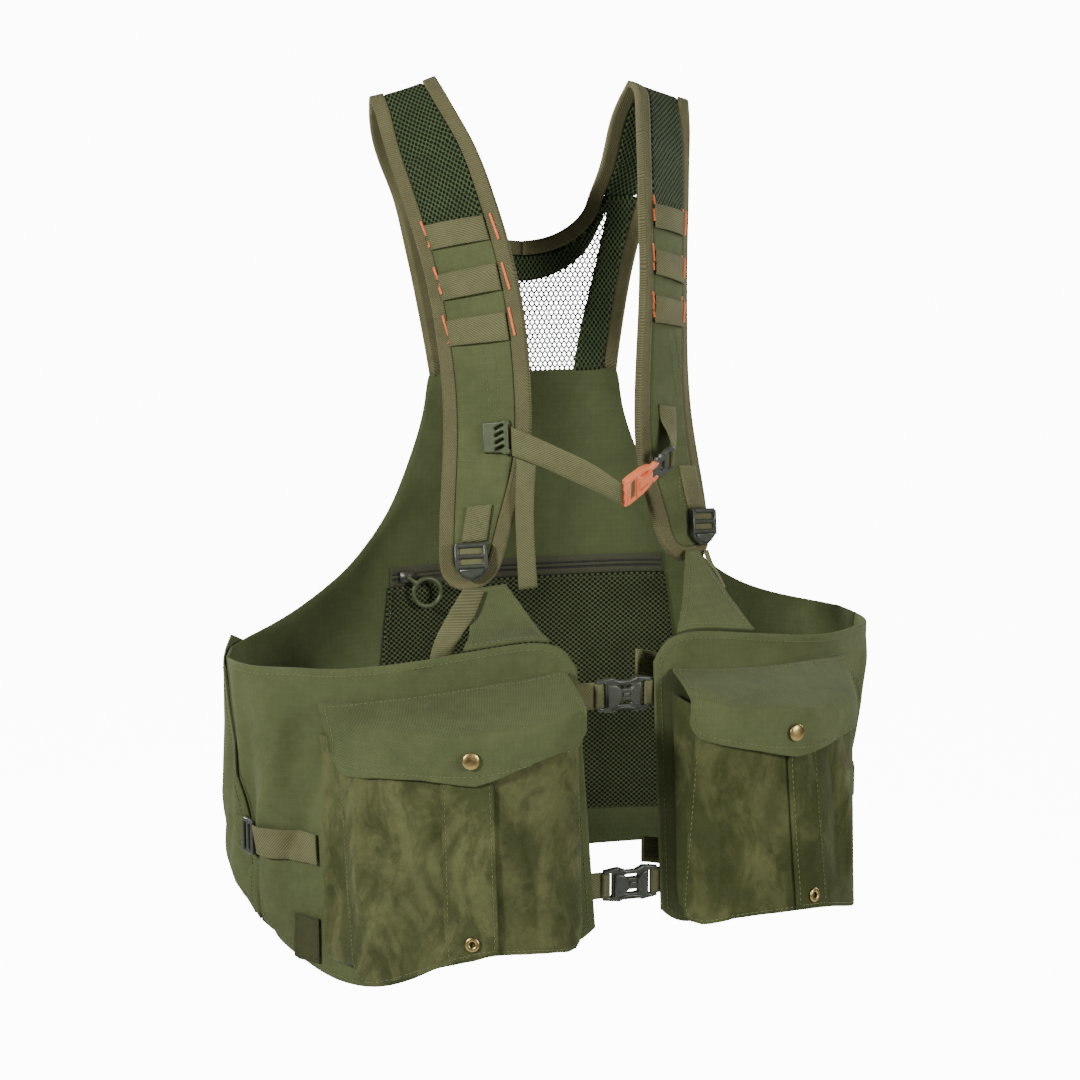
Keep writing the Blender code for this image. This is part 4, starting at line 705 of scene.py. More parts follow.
def rimOf(nodeName, outward):
    # edge loops round the outer face of a solid: start, end, direction into the cloth, face's normal
    bm = weldedCopy(nodeName)
    groupOf, groups = faceGroups(bm)

    def facing(members):
        centres = np.array([face.calc_center_median() for face in members])
        normals = np.array([face.normal * face.calc_area() for face in members])
        return (normals * outward(centres)).sum()

    chosen = max(range(len(groups)), key=lambda index: facing(groups[index]))
    nextEdge = {}
    for face in groups[chosen]:
        for loop in face.loops:
            if any(groupOf[other.index] != chosen for other in loop.edge.link_faces):
                start, end = np.array(loop.vert.co), np.array(loop.link_loop_next.vert.co)
                inside = np.array(face.calc_center_median()) - (start + end) / 2
                nextEdge[loop.vert.index] = (loop.link_loop_next.vert.index, start, end, inside,
                                             np.array(face.normal))
    bm.free()
    loops = []
    while nextEdge:
        key = next(iter(nextEdge))
        chain = []
        while key in nextEdge:
            key, *entry = nextEdge.pop(key)
            chain.append(entry)
        loops.append(chain)
    return loops


# lower edges of the flaps: column in the photograph, and how far the edge hangs below the solid's
# there, in millimetres; the cloth above it follows up to the height of the hang
flapEdges = {
    "flap_right": [(330, 0), (338, 4.5), (346, 5.0), (376, 1.0), (420, -0.4), (446, 1.0), (475, 3.4),
                   (508, -0.8), (535, -4.0), (560, -5.0), (575, -2.0)],
    "flap_left": [(680, 0), (700, 0.5), (760, 0.5), (798, 3.0), (820, 0.5), (850, -3.0), (870, 0)],
}
flapHang = 24 * mm


def photoColumns(points):
    right, _, back, place = (np.array(vector) for vector in cameraAxes())
    away = points - place
    reach = cameraSetup["lens"] / cameraSetup["sensor"] * cameraSetup["photo"]
    return cameraSetup["photo"] / 2 + reach * (away @ right) / -(away @ back)


def lowerEdge(nodeName):
    # the lower outline of the solid's outer face, from the wearer's right to the left
    ends = set()
    for chain in rimOf(nodeName, outwardFromBody):
        for start, end, inside, _ in chain:
            if unit(inside)[2] > 0.7:
                ends.update((tuple(start), tuple(end)))
    return np.array(sorted(ends))


def hangFlap(nodeName, points):
    edge = lowerEdge(nodeName)
    drops = np.array(flapEdges[nodeName], float)
    low = np.interp(points[:, 0], edge[:, 0], edge[:, 2])
    share = np.clip((low + flapHang - points[:, 2]) / flapHang, 0, 1)
    moved = points.copy()
    moved[:, 2] -= np.interp(photoColumns(points), drops[:, 0], drops[:, 1]) * mm * share ** 1.5
    return moved


# ends that meet the next piece are run on over the seam, so that no light shows through it
seamEnds = {
    "overrun": 1.4 * mm, "bindingLow": -0.206, "bindingHigh": -0.2015, "frameLow": -0.2025,
    "frameHigh": -0.0735, "neckReach": 1.6 * mm, "neckOverlap": 0.2 * mm,
}


def closeEnds(nodeName, points):
    across, depth, height = points.T
    moved = points.copy()
    if nodeName.startswith("binding"):
        atNeck = (np.abs(across) < seamEnds["neckReach"]) & (depth > 0.02)
        moved[atNeck, 0] = -math.copysign(seamEnds["neckOverlap"], across.mean())
        atSeam = (height < seamEnds["bindingHigh"]) & (height > seamEnds["bindingLow"]) & (depth > 0.0)
        moved[atSeam, 2] -= seamEnds["overrun"]
    if nodeName == "yoke_frame":
        moved[height < seamEnds["frameLow"], 2] -= seamEnds["overrun"]
        moved[height > seamEnds["frameHigh"], 2] += seamEnds["overrun"]
    return moved


def dressNode(nodeName, look, lay, levels, crease, uneven=0.0, grow=0.0, relief=True, corners=False):
    bm = weldedCopy(nodeName)
    markCreases(bm, crease, corners)
    piece = roundedPiece(bm, nodeName + "_cloth", look, levels)
    points = coordinates(piece.data)
    writeMap(piece.data, points, lay)
    if grow:
        normals = np.zeros(len(points) * 3)
        piece.data.vertices.foreach_get("normal", normals)
        points = points + normals.reshape(-1, 3) * grow * mm
    if nodeName in flapEdges:
        points = hangFlap(nodeName, points)
    points = closeEnds(nodeName, points)
    if relief:
        seed = sum(ord(letter) for letter in nodeName)
        small = ripple(points, 0.035, seed) * 0.6 + ripple(points, 0.014, seed + 1) * 0.4
        shift = foldRelief(points) + ownRelief(nodeName, points) + small * uneven * mm
        points = points + outwardFromBody(points) * shift[:, None]
    writeCoordinates(piece.data, points)
    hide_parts(nodeName)
    return piece


pocketFoldStrength = 1.6
# folds of single pieces seen from the front: x and height of one end, x and height of the other,
# half width and depth, in millimetres
ownFolds = {
    "pocket_face_right": [
        (-178, -470, -150, -540, 7, -2.6), (-150, -455, -128, -500, 6, -1.8),
        (-172, -530, -140, -575, 7, -2.2), (-112, -470, -120, -545, 4, 1.6),
        (-84, -470, -76, -560, 5, -1.6), (-60, -480, -50, -560, 6, -2.2),
        (-187, -440, -184, -590, 3, 1.6), (-181, -440, -178, -590, 3, -1.8),
        (-166, -500, -128, -512, 6, 1.5), (-182, -585, -150, -592, 5, -2.0),
        (-140, -560, -112, -572, 6, 1.6),
        (-186, -450, -182, -580, 4, 1.8), (-70, -560, -48, -572, 5, 1.6),
    ],
    "pocket_strip_right": [(-106, -470, -92, -500, 6, -0.9), (-100, -520, -112, -552, 6, 0.8)],
    "pocket_face_left": [
        (62, -450, 70, -550, 6, -2.4), (84, -470, 92, -540, 6, 1.6), (150, -450, 158, -545, 6, -2.2),
        (168, -470, 172, -560, 5, 1.8), (70, -500, 104, -520, 6, -1.4), (54, -430, 52, -560, 4, 1.8),
        (60, -556, 96, -566, 5, -1.6), (136, -548, 170, -556, 5, 1.5),
    ],
    "pocket_strip_left": [(116, -470, 128, -500, 6, -0.9), (122, -520, 112, -546, 6, 0.8)],
    "flap_right": [
        (-190, -408, -150, -432, 7, 0.9), (-118, -404, -108, -438, 9, -1.0), (-70, -396, -60, -428, 8, 0.9),
        (-150, -438, -90, -441, 4, -0.5),
    ],
    "flap_left": [
        (60, -396, 70, -428, 8, 0.9), (96, -400, 110, -436, 8, -1.0), (150, -402, 160, -436, 8, 0.9),
    ],
    "mesh_pocket": [
        (0, -360, 0, -570, 900, -1.3), (-90, -400, -60, -540, 12, -1.5), (40, -400, 60, -530, 12, -1.5),
    ],
}


def ownRelief(nodeName, points):
    relief = np.zeros(len(points))
    for x1, height1, x2, height2, width, depth in ownFolds.get(nodeName, []):
        start, end = np.array([x1, height1]) * mm, np.array([x2, height2]) * mm
        relief += oneFold(mapFlat(points), start, end, width * mm, depth, (0.25, 0.05), (0.0018, 6.0), x1)
    return relief * mm * (pocketFoldStrength if nodeName.startswith("pocket_face") else 1.0)


dressed = {}
for nodeName, (look, lay, levels, uneven, grow, cut, share, slot) in clothPieces.items():
    crease = 1.0 if nodeName == "yoke_frame" else 0.8
    dressed[nodeName] = dressNode(nodeName, look, lay, levels, crease, uneven, grow, corners=True)
for nodeName, cut in webbingPieces.items():
    dressed[nodeName] = dressNode(nodeName, "webbing", "length", 2, 0.6)
for level in bandLevels:
    for side in sides:
        nodeName = f"band_{level}_{side}"
        dressed[nodeName] = dressNode(nodeName, "webbing", "strap", 2, 0.8, relief=False)
for side in sides:
    nodeName = f"binding_{side}"
    dressed[nodeName] = dressNode(nodeName, "binding", "strap", 2, 1.0, grow=0.7, relief=False)
for side in sides:
    nodeName = f"strap_{side}"
    dressed[nodeName] = dressNode(nodeName, "airMesh", "strap", 3, 0.4, grow=0.5, relief=False)
print("cloth pieces made:", len(dressed))


# smaller details are laid on the cloth where the photograph shows them
def surfaceOf(*names):
    corners = []
    faces = []
    for name in names:
        mesh = dressed[name].data
        start = len(corners)
        corners += [tuple(point) for point in coordinates(mesh)]
        faces += [[start + index for index in face.vertices] for face in mesh.polygons]
    return BVHTree.FromPolygons(corners, faces)


def tuckUnder(nodeName, *covers, reach=3.0 * mm, overlap=0.9 * mm, below=1.0):
    # the rim of a piece goes under the binding that is sewn over it
    surface = surfaceOf(*covers)
    mesh = dressed[nodeName].data
    points = coordinates(mesh)
    for place, point in enumerate(points):
        hit, _, _, gap = surface.find_nearest(Vector(point), reach)
        if hit is not None and gap > 0.02 * mm and point[2] < below:
            points[place] = np.array(hit) + (np.array(hit) - point) / gap * overlap
    writeCoordinates(mesh, points)


# the straps are ripstop outside, below the upper band, and mesh elsewhere
strapCover = {"below": -0.088, "inFrontOf": -0.03, "backward": 0.25}


def coverStraps():
    for side in sides:
        mesh = dressed[f"strap_{side}"].data
        mesh.materials.append(looks["ripstop"])
        for face in mesh.polygons:
            outside = face.center.y < strapCover["inFrontOf"] and face.normal.y < strapCover["backward"]
            if face.center.z < strapCover["below"] and outside:
                face.material_index = 1


coverStraps()
tuckUnder("yoke_frame", "binding_right", "binding_left")
tuckUnder("game_pouch", "front_panel_right", "front_panel_left", reach=5.0 * mm, below=-0.532)


def cameraRay(px, py):
    # the line of sight through a point of the photograph, in its pixels
    right, up, back, place = cameraAxes()
    half = cameraSetup["photo"] / 2
    reach = cameraSetup["lens"] / cameraSetup["sensor"] * cameraSetup["photo"]
    return place, (right * ((px - half) / reach) - up * ((py - half) / reach) - back).normalized()


def seenAt(px, py, surface):
    start, direction = cameraRay(px, py)
    place, normal, _, _ = surface.ray_cast(start, direction)
    if place is None:
        return None
    return np.array(place), np.array(normal if normal.dot(direction) < 0 else -normal)


class Threads:
    # short lengths of thread, gathered and made into one mesh
    def __init__(self):
        self.corners = []
        self.faces = []
        self.count = 0

    def add(self, start, end, normal, radius):
        length = np.linalg.norm(end - start)
        if length < 1e-5:
            return
        along = (end - start) / length
        normal = unit(normal - along * (normal @ along))
        aside = np.cross(along, normal)
        first = len(self.corners)
        # four rings of five corners: sunk thin ends, and a raised middle
        for share, size, rise in ((0.0, 0.45, 0.0), (0.22, 1.0, 0.6), (0.78, 1.0, 0.6), (1.0, 0.45, 0.0)):
            middle = start + along * (length * share) + normal * (radius * rise)
            for step in range(5):
                turn = 2 * math.pi * step / 5
                rim = aside * math.cos(turn) + normal * math.sin(turn)
                self.corners.append(tuple(middle + rim * (radius * size)))
        for ring in range(3):
            for step in range(5):
                a = first + ring * 5 + step
                b = first + ring * 5 + (step + 1) % 5
                self.faces.append((a, b, b + 5, a + 5))
        self.faces.append(tuple(first + step for step in reversed(range(5))))
        self.faces.append(tuple(first + 15 + step for step in range(5)))
        self.count += 1

    def finish(self, title, look, slot):
        newPiece(title, meshOf(title, self.corners, self.faces), look)


# a seam is sampled at each step, and its line is smoothed over a few of them
stitchSizes = {
    "pitch": 3.1 * mm, "length": 2.3 * mm, "radius": 0.30 * mm, "step": 0.8 * mm,
    "widest": 9, "corner": 5, "above": 6 * mm, "reach": 14 * mm,
}


def sew(threads, places, pitch, radius):
    # stitches along a list of (point, normal), broken where the list has None
    length = pitch * stitchSizes["length"] / stitchSizes["pitch"]
    walked = 0.0
    start = None
    last = None
    for place in places:
        if place is None:
            walked, start, last = 0.0, None, None
            continue
        point, normal = place
        if last is not None:
            step = np.linalg.norm(point - last)
            walked += step
            if step > 6 * stitchSizes["step"]:
                walked, start = 0.0, None
        if start is None and walked >= 0.0:
            start, startNormal, walked = point, normal, 0.0
        elif start is not None and walked >= length:
            threads.add(start, point, (startNormal + normal) / 2, radius)
            start = None
            walked = length - pitch
        last = point


def smoothedRing(rows, width, margin):
    # running mean over a closed ring
    wrapped = np.concatenate([rows[-margin:], rows, rows[:margin]])
    kernel = np.ones(width) / width
    return np.stack([np.convolve(wrapped[:, k], kernel, "same") for k in range(3)], 1)[margin:-margin]


def shoulderOut(points):
    # away from the shoulder, for what goes over it
    above = np.maximum(points[:, 2] + 0.16, 0.0)
    return unit(np.stack([np.zeros(len(points)), points[:, 1] + 0.03, above], 1))


def stitchRim(threads, nodeName, inset, keep=None, outward=outwardFromBody, pitch=stitchSizes["pitch"],
              radius=stitchSizes["radius"]):
    # a line of stitches inside the rim of a piece
    surface = surfaceOf(nodeName)
    for chain in rimOf(nodeName, outward):
        rows = []
        for start, end, inside, normal in chain:
            span = end - start
            along = unit(span)
            inward = unit(inside - along * (inside @ along))
            count = max(1, int(round(np.linalg.norm(span) / stitchSizes["step"])))
            rows += [(start + span * step / count, inward, normal) for step in range(count)]
        points, inwards, normals = (np.array(column) for column in zip(*rows))
        width = max(1, min(stitchSizes["widest"], len(rows) // 8))
        moved = smoothedRing(points, stitchSizes["corner"], 3)
        moved = moved + unit(smoothedRing(inwards, width, width)) * inset
        places = []
        for target, out in zip(moved, normals):
            if keep is not None and not keep(target):
                places.append(None)
                continue
            # inside a sharp corner the line would run past itself
            if np.min(((points - target) ** 2).sum(1)) < (inset * 0.82) ** 2:
                continue
            above = Vector(target + out * stitchSizes["above"])
            hit, normal, _, _ = surface.ray_cast(above, Vector(-out), stitchSizes["reach"])
            places.append(None if hit is None else (np.array(hit), np.array(normal)))
        sew(threads, places, pitch, radius)


def stitchSeen(threads, pixels, surface, pitch, radius):
    # a line of stitches through points of the photograph
    places = []
    for (x1, y1), (x2, y2) in zip(pixels[:-1], pixels[1:]):
        count = max(2, int(math.hypot(x2 - x1, y2 - y1) / 0.9))
        for step in range(count):
            share = step / count
            places.append(seenAt(x1 + (x2 - x1) * share, y1 + (y2 - y1) * share, surface))
    sew(threads, places, pitch, radius)


bartackSizes = {"width": 2.0 * mm, "radius": 0.32 * mm, "pitch": 0.52 * mm}


def bartack(threads, start, end, surface):
    # a dense zigzag bar between two points of the photograph
    first = seenAt(*start, surface)
    last = seenAt(*end, surface)
    if first is None or last is None:
        print("no cloth under the bar at", start, end)
        return
    span = last[0] - first[0]
    normal = (first[1] + last[1]) / 2
    aside = unit(np.cross(span, normal)) * bartackSizes["width"] / 2
    normal = unit(normal)
    count = max(8, int(np.linalg.norm(span) / bartackSizes["pitch"]))
    lean = span / count * 0.45
    radius = bartackSizes["radius"]
    for step in range(count):
        above = first[0] + span * (step / (count - 1)) + normal * 6 * mm
        hit, found, _, _ = surface.ray_cast(Vector(above), Vector(-normal), 12 * mm)
        if hit is not None:
            middle = np.array(hit) + np.array(found) * radius * 2
            threads.add(middle - aside - lean, middle + aside + lean, np.array(found), radius)


# bars at both ends of each band, by the points of the photograph where they start and end
bandBars = {
    "right": [((421, 222), (430, 247)), ((434, 268), (442, 294)), ((443, 316), (449, 343)),
              ((490, 214), (499, 239)), ((502, 263), (510, 289)), ((509, 308), (515, 335))],
    "left": [((653, 196), (655, 221)), ((652, 244), (654, 270)), ((652, 292), (655, 317)),
             ((683, 210), (684, 235)), ((682, 256), (683, 278)), ((682, 297), (683, 322))],
}


def makeBars():
    threads = Threads()
    for side, bars in bandBars.items():
        bands = [f"band_{level}_{side}" for level in bandLevels]
        surface = surfaceOf(*bands, f"strap_{side}", f"binding_{side}")
        for start, end in bars:
            bartack(threads, start, end, surface)
    threads.finish("orange_bars", "threadOrange", "orange_plastic")
    print("orange bars:", threads.count)


# seams on the front: piece, inset from its rim in millimetres, and the part of the rim that is sewn
frontSeams = [
    ("flap", 3.6, None),
    ("front_panel", 5.0, lambda point: point[2] > -0.398 or abs(point[0]) < 0.05),
    ("front_panel", 4.0, lambda point: point[2] < -0.56),
    ("chest_tab", 3.2, None),
    ("pocket_strip", 2.6, lambda point: point[2] < -0.44),
    ("pocket_face", 2.6, lambda point: point[2] < -0.44),
    ("side_tab", 2.2, None),
]
# and on the back, with the side of the piece that is sewn: 1 outside, -1 inside
backSeams = [("back_panel", 5.0, 1), ("game_pouch", 5.0, 1), ("mesh_pocket", 3.0, -1),
             ("yoke_frame", 2.4, -1), ("yoke_frame", 2.4, 1)]


def makeStitching():
    threads = Threads()
    for side in sides:
        for name, inset, keep in frontSeams:
            stitchRim(threads, f"{name}_{side}", inset * mm, keep=keep)
        stitchRim(threads, f"binding_{side}", 1.5 * mm, outward=shoulderOut, radius=0.24 * mm)
    threads.finish("seam_stitches", "threadOlive", "ripstop")
    print("stitches on the front:", threads.count)
    threads = Threads()
    for name, inset, facing in backSeams:
        stitchRim(threads, name, inset * mm, outward=lambda points: facing * outwardFromBody(points))
    stitchRim(threads, "label", 1.8 * mm, pitch=2.0 * mm, radius=0.2 * mm)
    threads.finish("back_stitches", "threadDark", "ripstop")
    print("stitches on the back:", threads.count)


# lines of stitches on the straps, by points of the photograph
strapStitches = {
    "right": [
        [(484, 345), (487, 380), (489, 408), (490, 424)], [(494, 345), (497, 380), (498, 408), (499, 424)],
        [(427, 455), (450, 460), (475, 461), (499, 458)],
        [(471, 507), (492, 507), (490, 543), (470, 543), (471, 507)],
        [(471, 507), (490, 543)], [(492, 507), (470, 543)],
    ],
    "left": [
        [(668, 325), (672, 360), (677, 400)], [(674, 325), (679, 360), (684, 400)],
        [(679, 478), (692, 477), (692, 503), (681, 505), (679, 478)],
        [(679, 478), (692, 503)], [(692, 477), (681, 505)],
    ],
}


def makeStrapStitches():
    threads = Threads()
    for side, lines in strapStitches.items():
        surface = surfaceOf(f"strap_{side}", f"lock_patch_{side}")
        for line in lines:
            stitchSeen(threads, line, surface, pitch=2.6 * mm, radius=0.24 * mm)
    threads.finish("strap_stitches", "threadOlive", "ripstop")
    print("stitches on the straps:", threads.count)


makeBars()
makeStitching()
makeStrapStitches()


# the open net of the yoke: half outline, cell, radius of cord and knot, how far it runs on under the
# frame, and the height of its first row, in millimetres, and its cut in metres
netSettings = {
    "outline": [(41, -203.6), (47, -173), (54, -147), (61, -119), (64.5, -102), (67.5, -88), (67.5, -82),
                (64, -83.5), (60, -95), (52, -110), (39, -122), (23, -130), (9, -133.5), (0, -134)],
    "cellWide": 3.9, "cellTall": 3.6, "cord": 0.70, "knot": 0.85, "under": 2.4, "foot": -206.0,
    "cut": (0.135, 0.122), "area": 0.0115,
}


def makeNet():
    given = netSettings
    half = np.array(given["outline"])
    outline = np.concatenate([half, half[::-1][1:] * np.array([-1, 1])])
    start, finish = outline, np.roll(outline, -1, axis=0)

    def inside(x, z):
        crossed = False
        nearest = 1e9
        for (x1, z1), (x2, z2) in zip(start, finish):
            if (z1 > z) != (z2 > z) and x < (x2 - x1) * (z - z1) / (z2 - z1) + x1:
                crossed = not crossed
            length = max((x2 - x1) ** 2 + (z2 - z1) ** 2, 1e-9)
            share = min(1.0, max(0.0, ((x - x1) * (x2 - x1) + (z - z1) * (z2 - z1)) / length))
            nearest = min(nearest, math.hypot(x - x1 - share * (x2 - x1), z - z1 - share * (z2 - z1)))
        return crossed or nearest < given["under"]

    mesh = nodes["yoke_net"].data
    tree = BVHTree.FromPolygons([tuple(point) for point in coordinates(mesh)],
                                [tuple(face.vertices) for face in mesh.polygons])
    wide, tall = given["cellWide"], given["cellTall"]
    knots = {}
    cords = set()

    def knotAt(x, z):
        key = (round(x, 2), round(z, 2))
        if key not in knots:
            knots[key] = None
            if inside(x, z):
                depth = tree.find_nearest(Vector((x * mm, 0.034, z * mm)))[0].y
                ray, _, _, _ = tree.ray_cast(Vector((x * mm, -0.05, z * mm)), Vector((0, 1, 0)))
                knots[key] = np.array([x * mm, depth if ray is None else ray.y + 0.6 * mm, z * mm])
        return key

    for row in range(-2, 40):
        for column in range(-20, 21):
            x = column * wide + (wide / 2 if row % 2 else 0.0)
            z = given["foot"] + row * tall
            low = knotAt(x, z - tall / 6)
            top = knotAt(x, z + tall / 6)
            cords.add((low, top))
            for aside in (-1, 1):
                above = knotAt(x + aside * wide / 2, z + tall - tall / 6)
                cords.add((top, above))
    corners, faces = [], []

    def addCord(first, last, radius):
        along = last - first
        along = along / np.linalg.norm(along)
        normal = np.array([0.0, -1.0, 0.0])
        aside = np.cross(along, normal)
        base = len(corners)
        for end in (first, last):
            for step in range(6):
                turn = math.pi * step / 3
                corners.append(tuple(end + (aside * math.cos(turn) + normal * math.sin(turn)) * radius))
        for step in range(6):
            nextStep = (step + 1) % 6
            faces.append((base + step, base + nextStep, base + 6 + nextStep, base + 6 + step))
        faces.append(tuple(base + step for step in reversed(range(6))))
        faces.append(tuple(base + 6 + step for step in range(6)))

    def addKnot(middle, radius):
        base = len(corners)
        for x, y, z in ((1, 0, 0), (-1, 0, 0), (0, 0.7, 0), (0, -0.7, 0), (0, 0, 1), (0, 0, -1)):
            corners.append(tuple(middle + np.array([x, y, z]) * radius))
        for face in ((0, 2, 4), (2, 1, 4), (1, 3, 4), (3, 0, 4), (2, 0, 5), (1, 2, 5), (3, 1, 5), (0, 3, 5)):
            faces.append(tuple(base + index for index in face))

    used = set()
    for first, last in sorted(cords):
        if knots[first] is not None and knots[last] is not None:
            used.update((first, last))
            addCord(knots[first], knots[last], given["cord"] * mm)
    for key in sorted(used):
        addKnot(knots[key], given["knot"] * mm)
    piece = newPiece("yoke_net_cords", meshOf("yoke_net_cords", corners, faces), "netCord")
    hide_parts("yoke_net")
    print("net knots:", len(used))


makeNet()


# zip: a coil behind its tapes shows as a ridge between two near-black strips of painted shade; half its
# length, its height, and each run's offset, width and rise in millimetres
zipSettings = {"half": 110.5, "height": -358.5}
zipRuns = {
    "zip_ridge": {"offset": 0.0, "width": 2.6, "rise": 1.0, "look": "zipTape"},
    # the two runs beside the ridge are painted shade
    "zip_groove_shade_upper": {"offset": 2.1, "width": 1.2, "rise": 0.5, "look": "zipGrooveShade"},
    "zip_groove_shade_lower": {"offset": -2.1, "width": 1.2, "rise": 0.5, "look": "zipGrooveShade"},
}


def makeZip():
    surface = surfaceOf("zip_tape")
    section = ((-0.5, -0.1), (-0.35, 0.8), (0.0, 1.0), (0.35, 0.8), (0.5, -0.1), (0.0, -0.2))
    for title, given in zipRuns.items():
        z = (zipSettings["height"] + given["offset"]) * mm
        corners, faces = [], []
        for x in np.arange(-zipSettings["half"], zipSettings["half"] + 0.1, 2.0) * mm:
            hit, _, _, _ = surface.ray_cast(Vector((x, -0.06, z)), Vector((0, 1, 0)))
            if hit is not None:
                corners += [(x, hit.y - rise * given["rise"] * mm, z + aside * given["width"] * mm)
                            for aside, rise in section]
        for row in range(len(corners) // 6 - 1):
            for step in range(6):
                a, b = row * 6 + step, row * 6 + (step + 1) % 6
                faces.append((a, b, b + 6, a + 6))
        faces.append(tuple(reversed(range(6))))
        faces.append(tuple(range(len(corners) - 6, len(corners))))
        mesh = meshOf(title, corners, faces)
        writeMap(mesh, coordinates(mesh), "round")
        newPiece(title, mesh, given["look"])
    print("zip made")


makeZip()


# moulded parts: outlines in their own plane in millimetres, thickness, rounding, height above the plane
def mouldedPlate(bm, outlines, thickness, rounding, lift, matrix):
    curve = bpy.data.curves.new("outline", "CURVE")
    curve.dimensions = "2D"
    curve.fill_mode = "BOTH"
    curve.extrude = max(thickness / 2 - rounding, 0.05) * mm
    curve.bevel_depth = rounding * mm
    curve.bevel_resolution = 2
    curve.offset = -rounding * mm
    for outline in outlines:
        spline = curve.splines.new("POLY")
        spline.points.add(len(outline) - 1)
        for point, (x, y) in zip(spline.points, outline):
            point.co = (x * mm, y * mm, 0, 1)
        spline.use_cyclic_u = True
    holder = bpy.data.objects.new("outline", curve)
    sceneHome.objects.link(holder)
    mesh = bpy.data.meshes.new_from_object(holder.evaluated_get(bpy.context.evaluated_depsgraph_get()))
    mesh.transform(matrix @ Matrix.Translation((0, 0, lift * mm)))
    bm.from_mesh(mesh)
    bpy.data.objects.remove(holder)
    bpy.data.curves.remove(curve)
    bpy.data.meshes.remove(mesh)


def roundBar(bm, start, end, radius, matrix):
    first, last = Vector(start) * mm, Vector(end) * mm
    turn = (last - first).to_track_quat("Z", "Y").to_matrix().to_4x4()
    place = matrix @ Matrix.Translation((first + last) / 2) @ turn
    bmesh.ops.create_cone(bm, cap_ends=True, segments=12, radius1=radius * mm, radius2=radius * mm,
                          depth=(last - first).length, matrix=place)


def roundedBox(width, height, radius, centre=(0.0, 0.0), steps=3, lean=0.0):
    outline = []
    for corner in range(4):
        cx = (width / 2 - radius) * (1 if corner in (0, 3) else -1)
        cy = (height / 2 - radius) * (1 if corner in (0, 1) else -1)
        for step in range(steps + 1):
            turn = math.radians(90 * corner + 90 * step / steps)
            outline.append((cx + radius * math.cos(turn), cy + radius * math.sin(turn)))
    c, s = math.cos(math.radians(lean)), math.sin(math.radians(lean))
    return [(centre[0] + x * c - y * s, centre[1] + x * s + y * c) for x, y in outline]


def solidFrame(nodeName, across, middle=(0.0, 0.0)):
    # the own frame of a flat solid: its normal faces forward, its first side runs across; middle is
    # the place of the solid's middle in the outline's own millimetres
    points = np.unique(np.round(coordinates(nodes[nodeName].data), 5), axis=0)
    centred = points - points.mean(0)
    thin, *flat = np.linalg.eigh(centred.T @ centred)[1].T
    normal = thin * -np.sign(thin[1])
    first = max(flat, key=lambda axis: abs(axis @ across))
    first = first * np.sign(first @ across)
    axes = np.array([first, np.cross(normal, first), normal])
    own = points @ axes.T
    origin = (own.min(0) + own.max(0)) / 2 - np.array([*middle, 0.0]) * mm
    matrix = Matrix(axes.tolist()).transposed().to_4x4()
    matrix.translation = Vector(origin @ axes)
    return matrix


def finishMoulded(bm, title, look, replaced=False):
    # a moulded part that stands for its solid has the solid's name, with _form after it
    fullTitle = title + "_form" if replaced else title
    mesh = bpy.data.meshes.new(fullTitle)
    bm.to_mesh(mesh)
    bm.free()
    mesh.polygons.foreach_set("use_smooth", [True] * len(mesh.polygons))
    mesh.set_sharp_from_angle(angle=math.radians(38))
    piece = newPiece(fullTitle, mesh, look)
    if replaced:
        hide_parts(title)


ladderShape = [(-11, 12), (11, 12), (12, 8.5), (11.5, -7.5), (7.5, -12), (3.5, -14.6), (0, -15.4),
               (-3.5, -14.6), (-7.5, -12), (-11.5, -7.5), (-12, 8.5)]
ladderSlots = [roundedBox(16.6, 4.6, 1.4, (0, 6.0)), roundedBox(16.6, 4.2, 1.4, (0, -1.4))]
ladderLip = [(-9.5, -6.5), (9.5, -6.5), (7.2, -11.2), (0, -14.2), (-7.2, -11.2)]
# bars of a ladder lock: half length, height, rise and radius
ladderBars = [(9.5, 10.0, 1.0, 1.8), (9.8, 2.3, 1.3, 1.7), (9.6, -5.0, 1.2, 1.6)]


def makeLadderLocks():
    for side in sides:
        matrix = solidFrame(f"ladder_lock_{side}", (1, 0, 0), middle=(0.0, -2.0))
        bm = bmesh.new()
        mouldedPlate(bm, [ladderShape, *ladderSlots], 3.6, 0.9, 0.0, matrix)
        for half, height, rise, radius in ladderBars:
            roundBar(bm, (-half, height, rise), (half, height, rise), radius, matrix)
        mouldedPlate(bm, [ladderLip], 3.4, 1.3, 1.6, matrix)
        for aside in (-10.4, 10.4):
            rail = [(aside - 1.5, 10.5), (aside + 1.5, 10.5), (aside + 1.5, -7.5), (aside - 1.5, -7.5)]
            mouldedPlate(bm, [rail], 3.2, 1.1, 1.2, matrix)
        finishMoulded(bm, f"ladder_lock_{side}", "greyPlastic", replaced=True)
        bm = bmesh.new()
        for height in (6.1, -1.4):
            mouldedPlate(bm, [roundedBox(18.2, 6.0, 0.5, (0, height))], 1.6, 0.4, 0.0, matrix)
        finishMoulded(bm, f"lock_webbing_{side}", "webbing")


buckleShape = [(-20, -11), (-20, 11), (-13, 12), (-9, 12.5), (-3, 9.6), (3, 9.6), (9, 12.5), (14, 12),
               (20, 11), (20, -11), (14, -12), (9, -12.5), (3, -9.6), (-3, -9.6), (-9, -12.5), (-13, -12)]
buckleSlots = [roundedBox(3.4, 17.5, 1.2, (-15.3, 0)), roundedBox(3.4, 17.5, 1.2, (15.3, 0)),
               roundedBox(10.0, 2.4, 1.1, (0.5, 5.6)), roundedBox(10.0, 2.4, 1.1, (0.5, -5.6))]
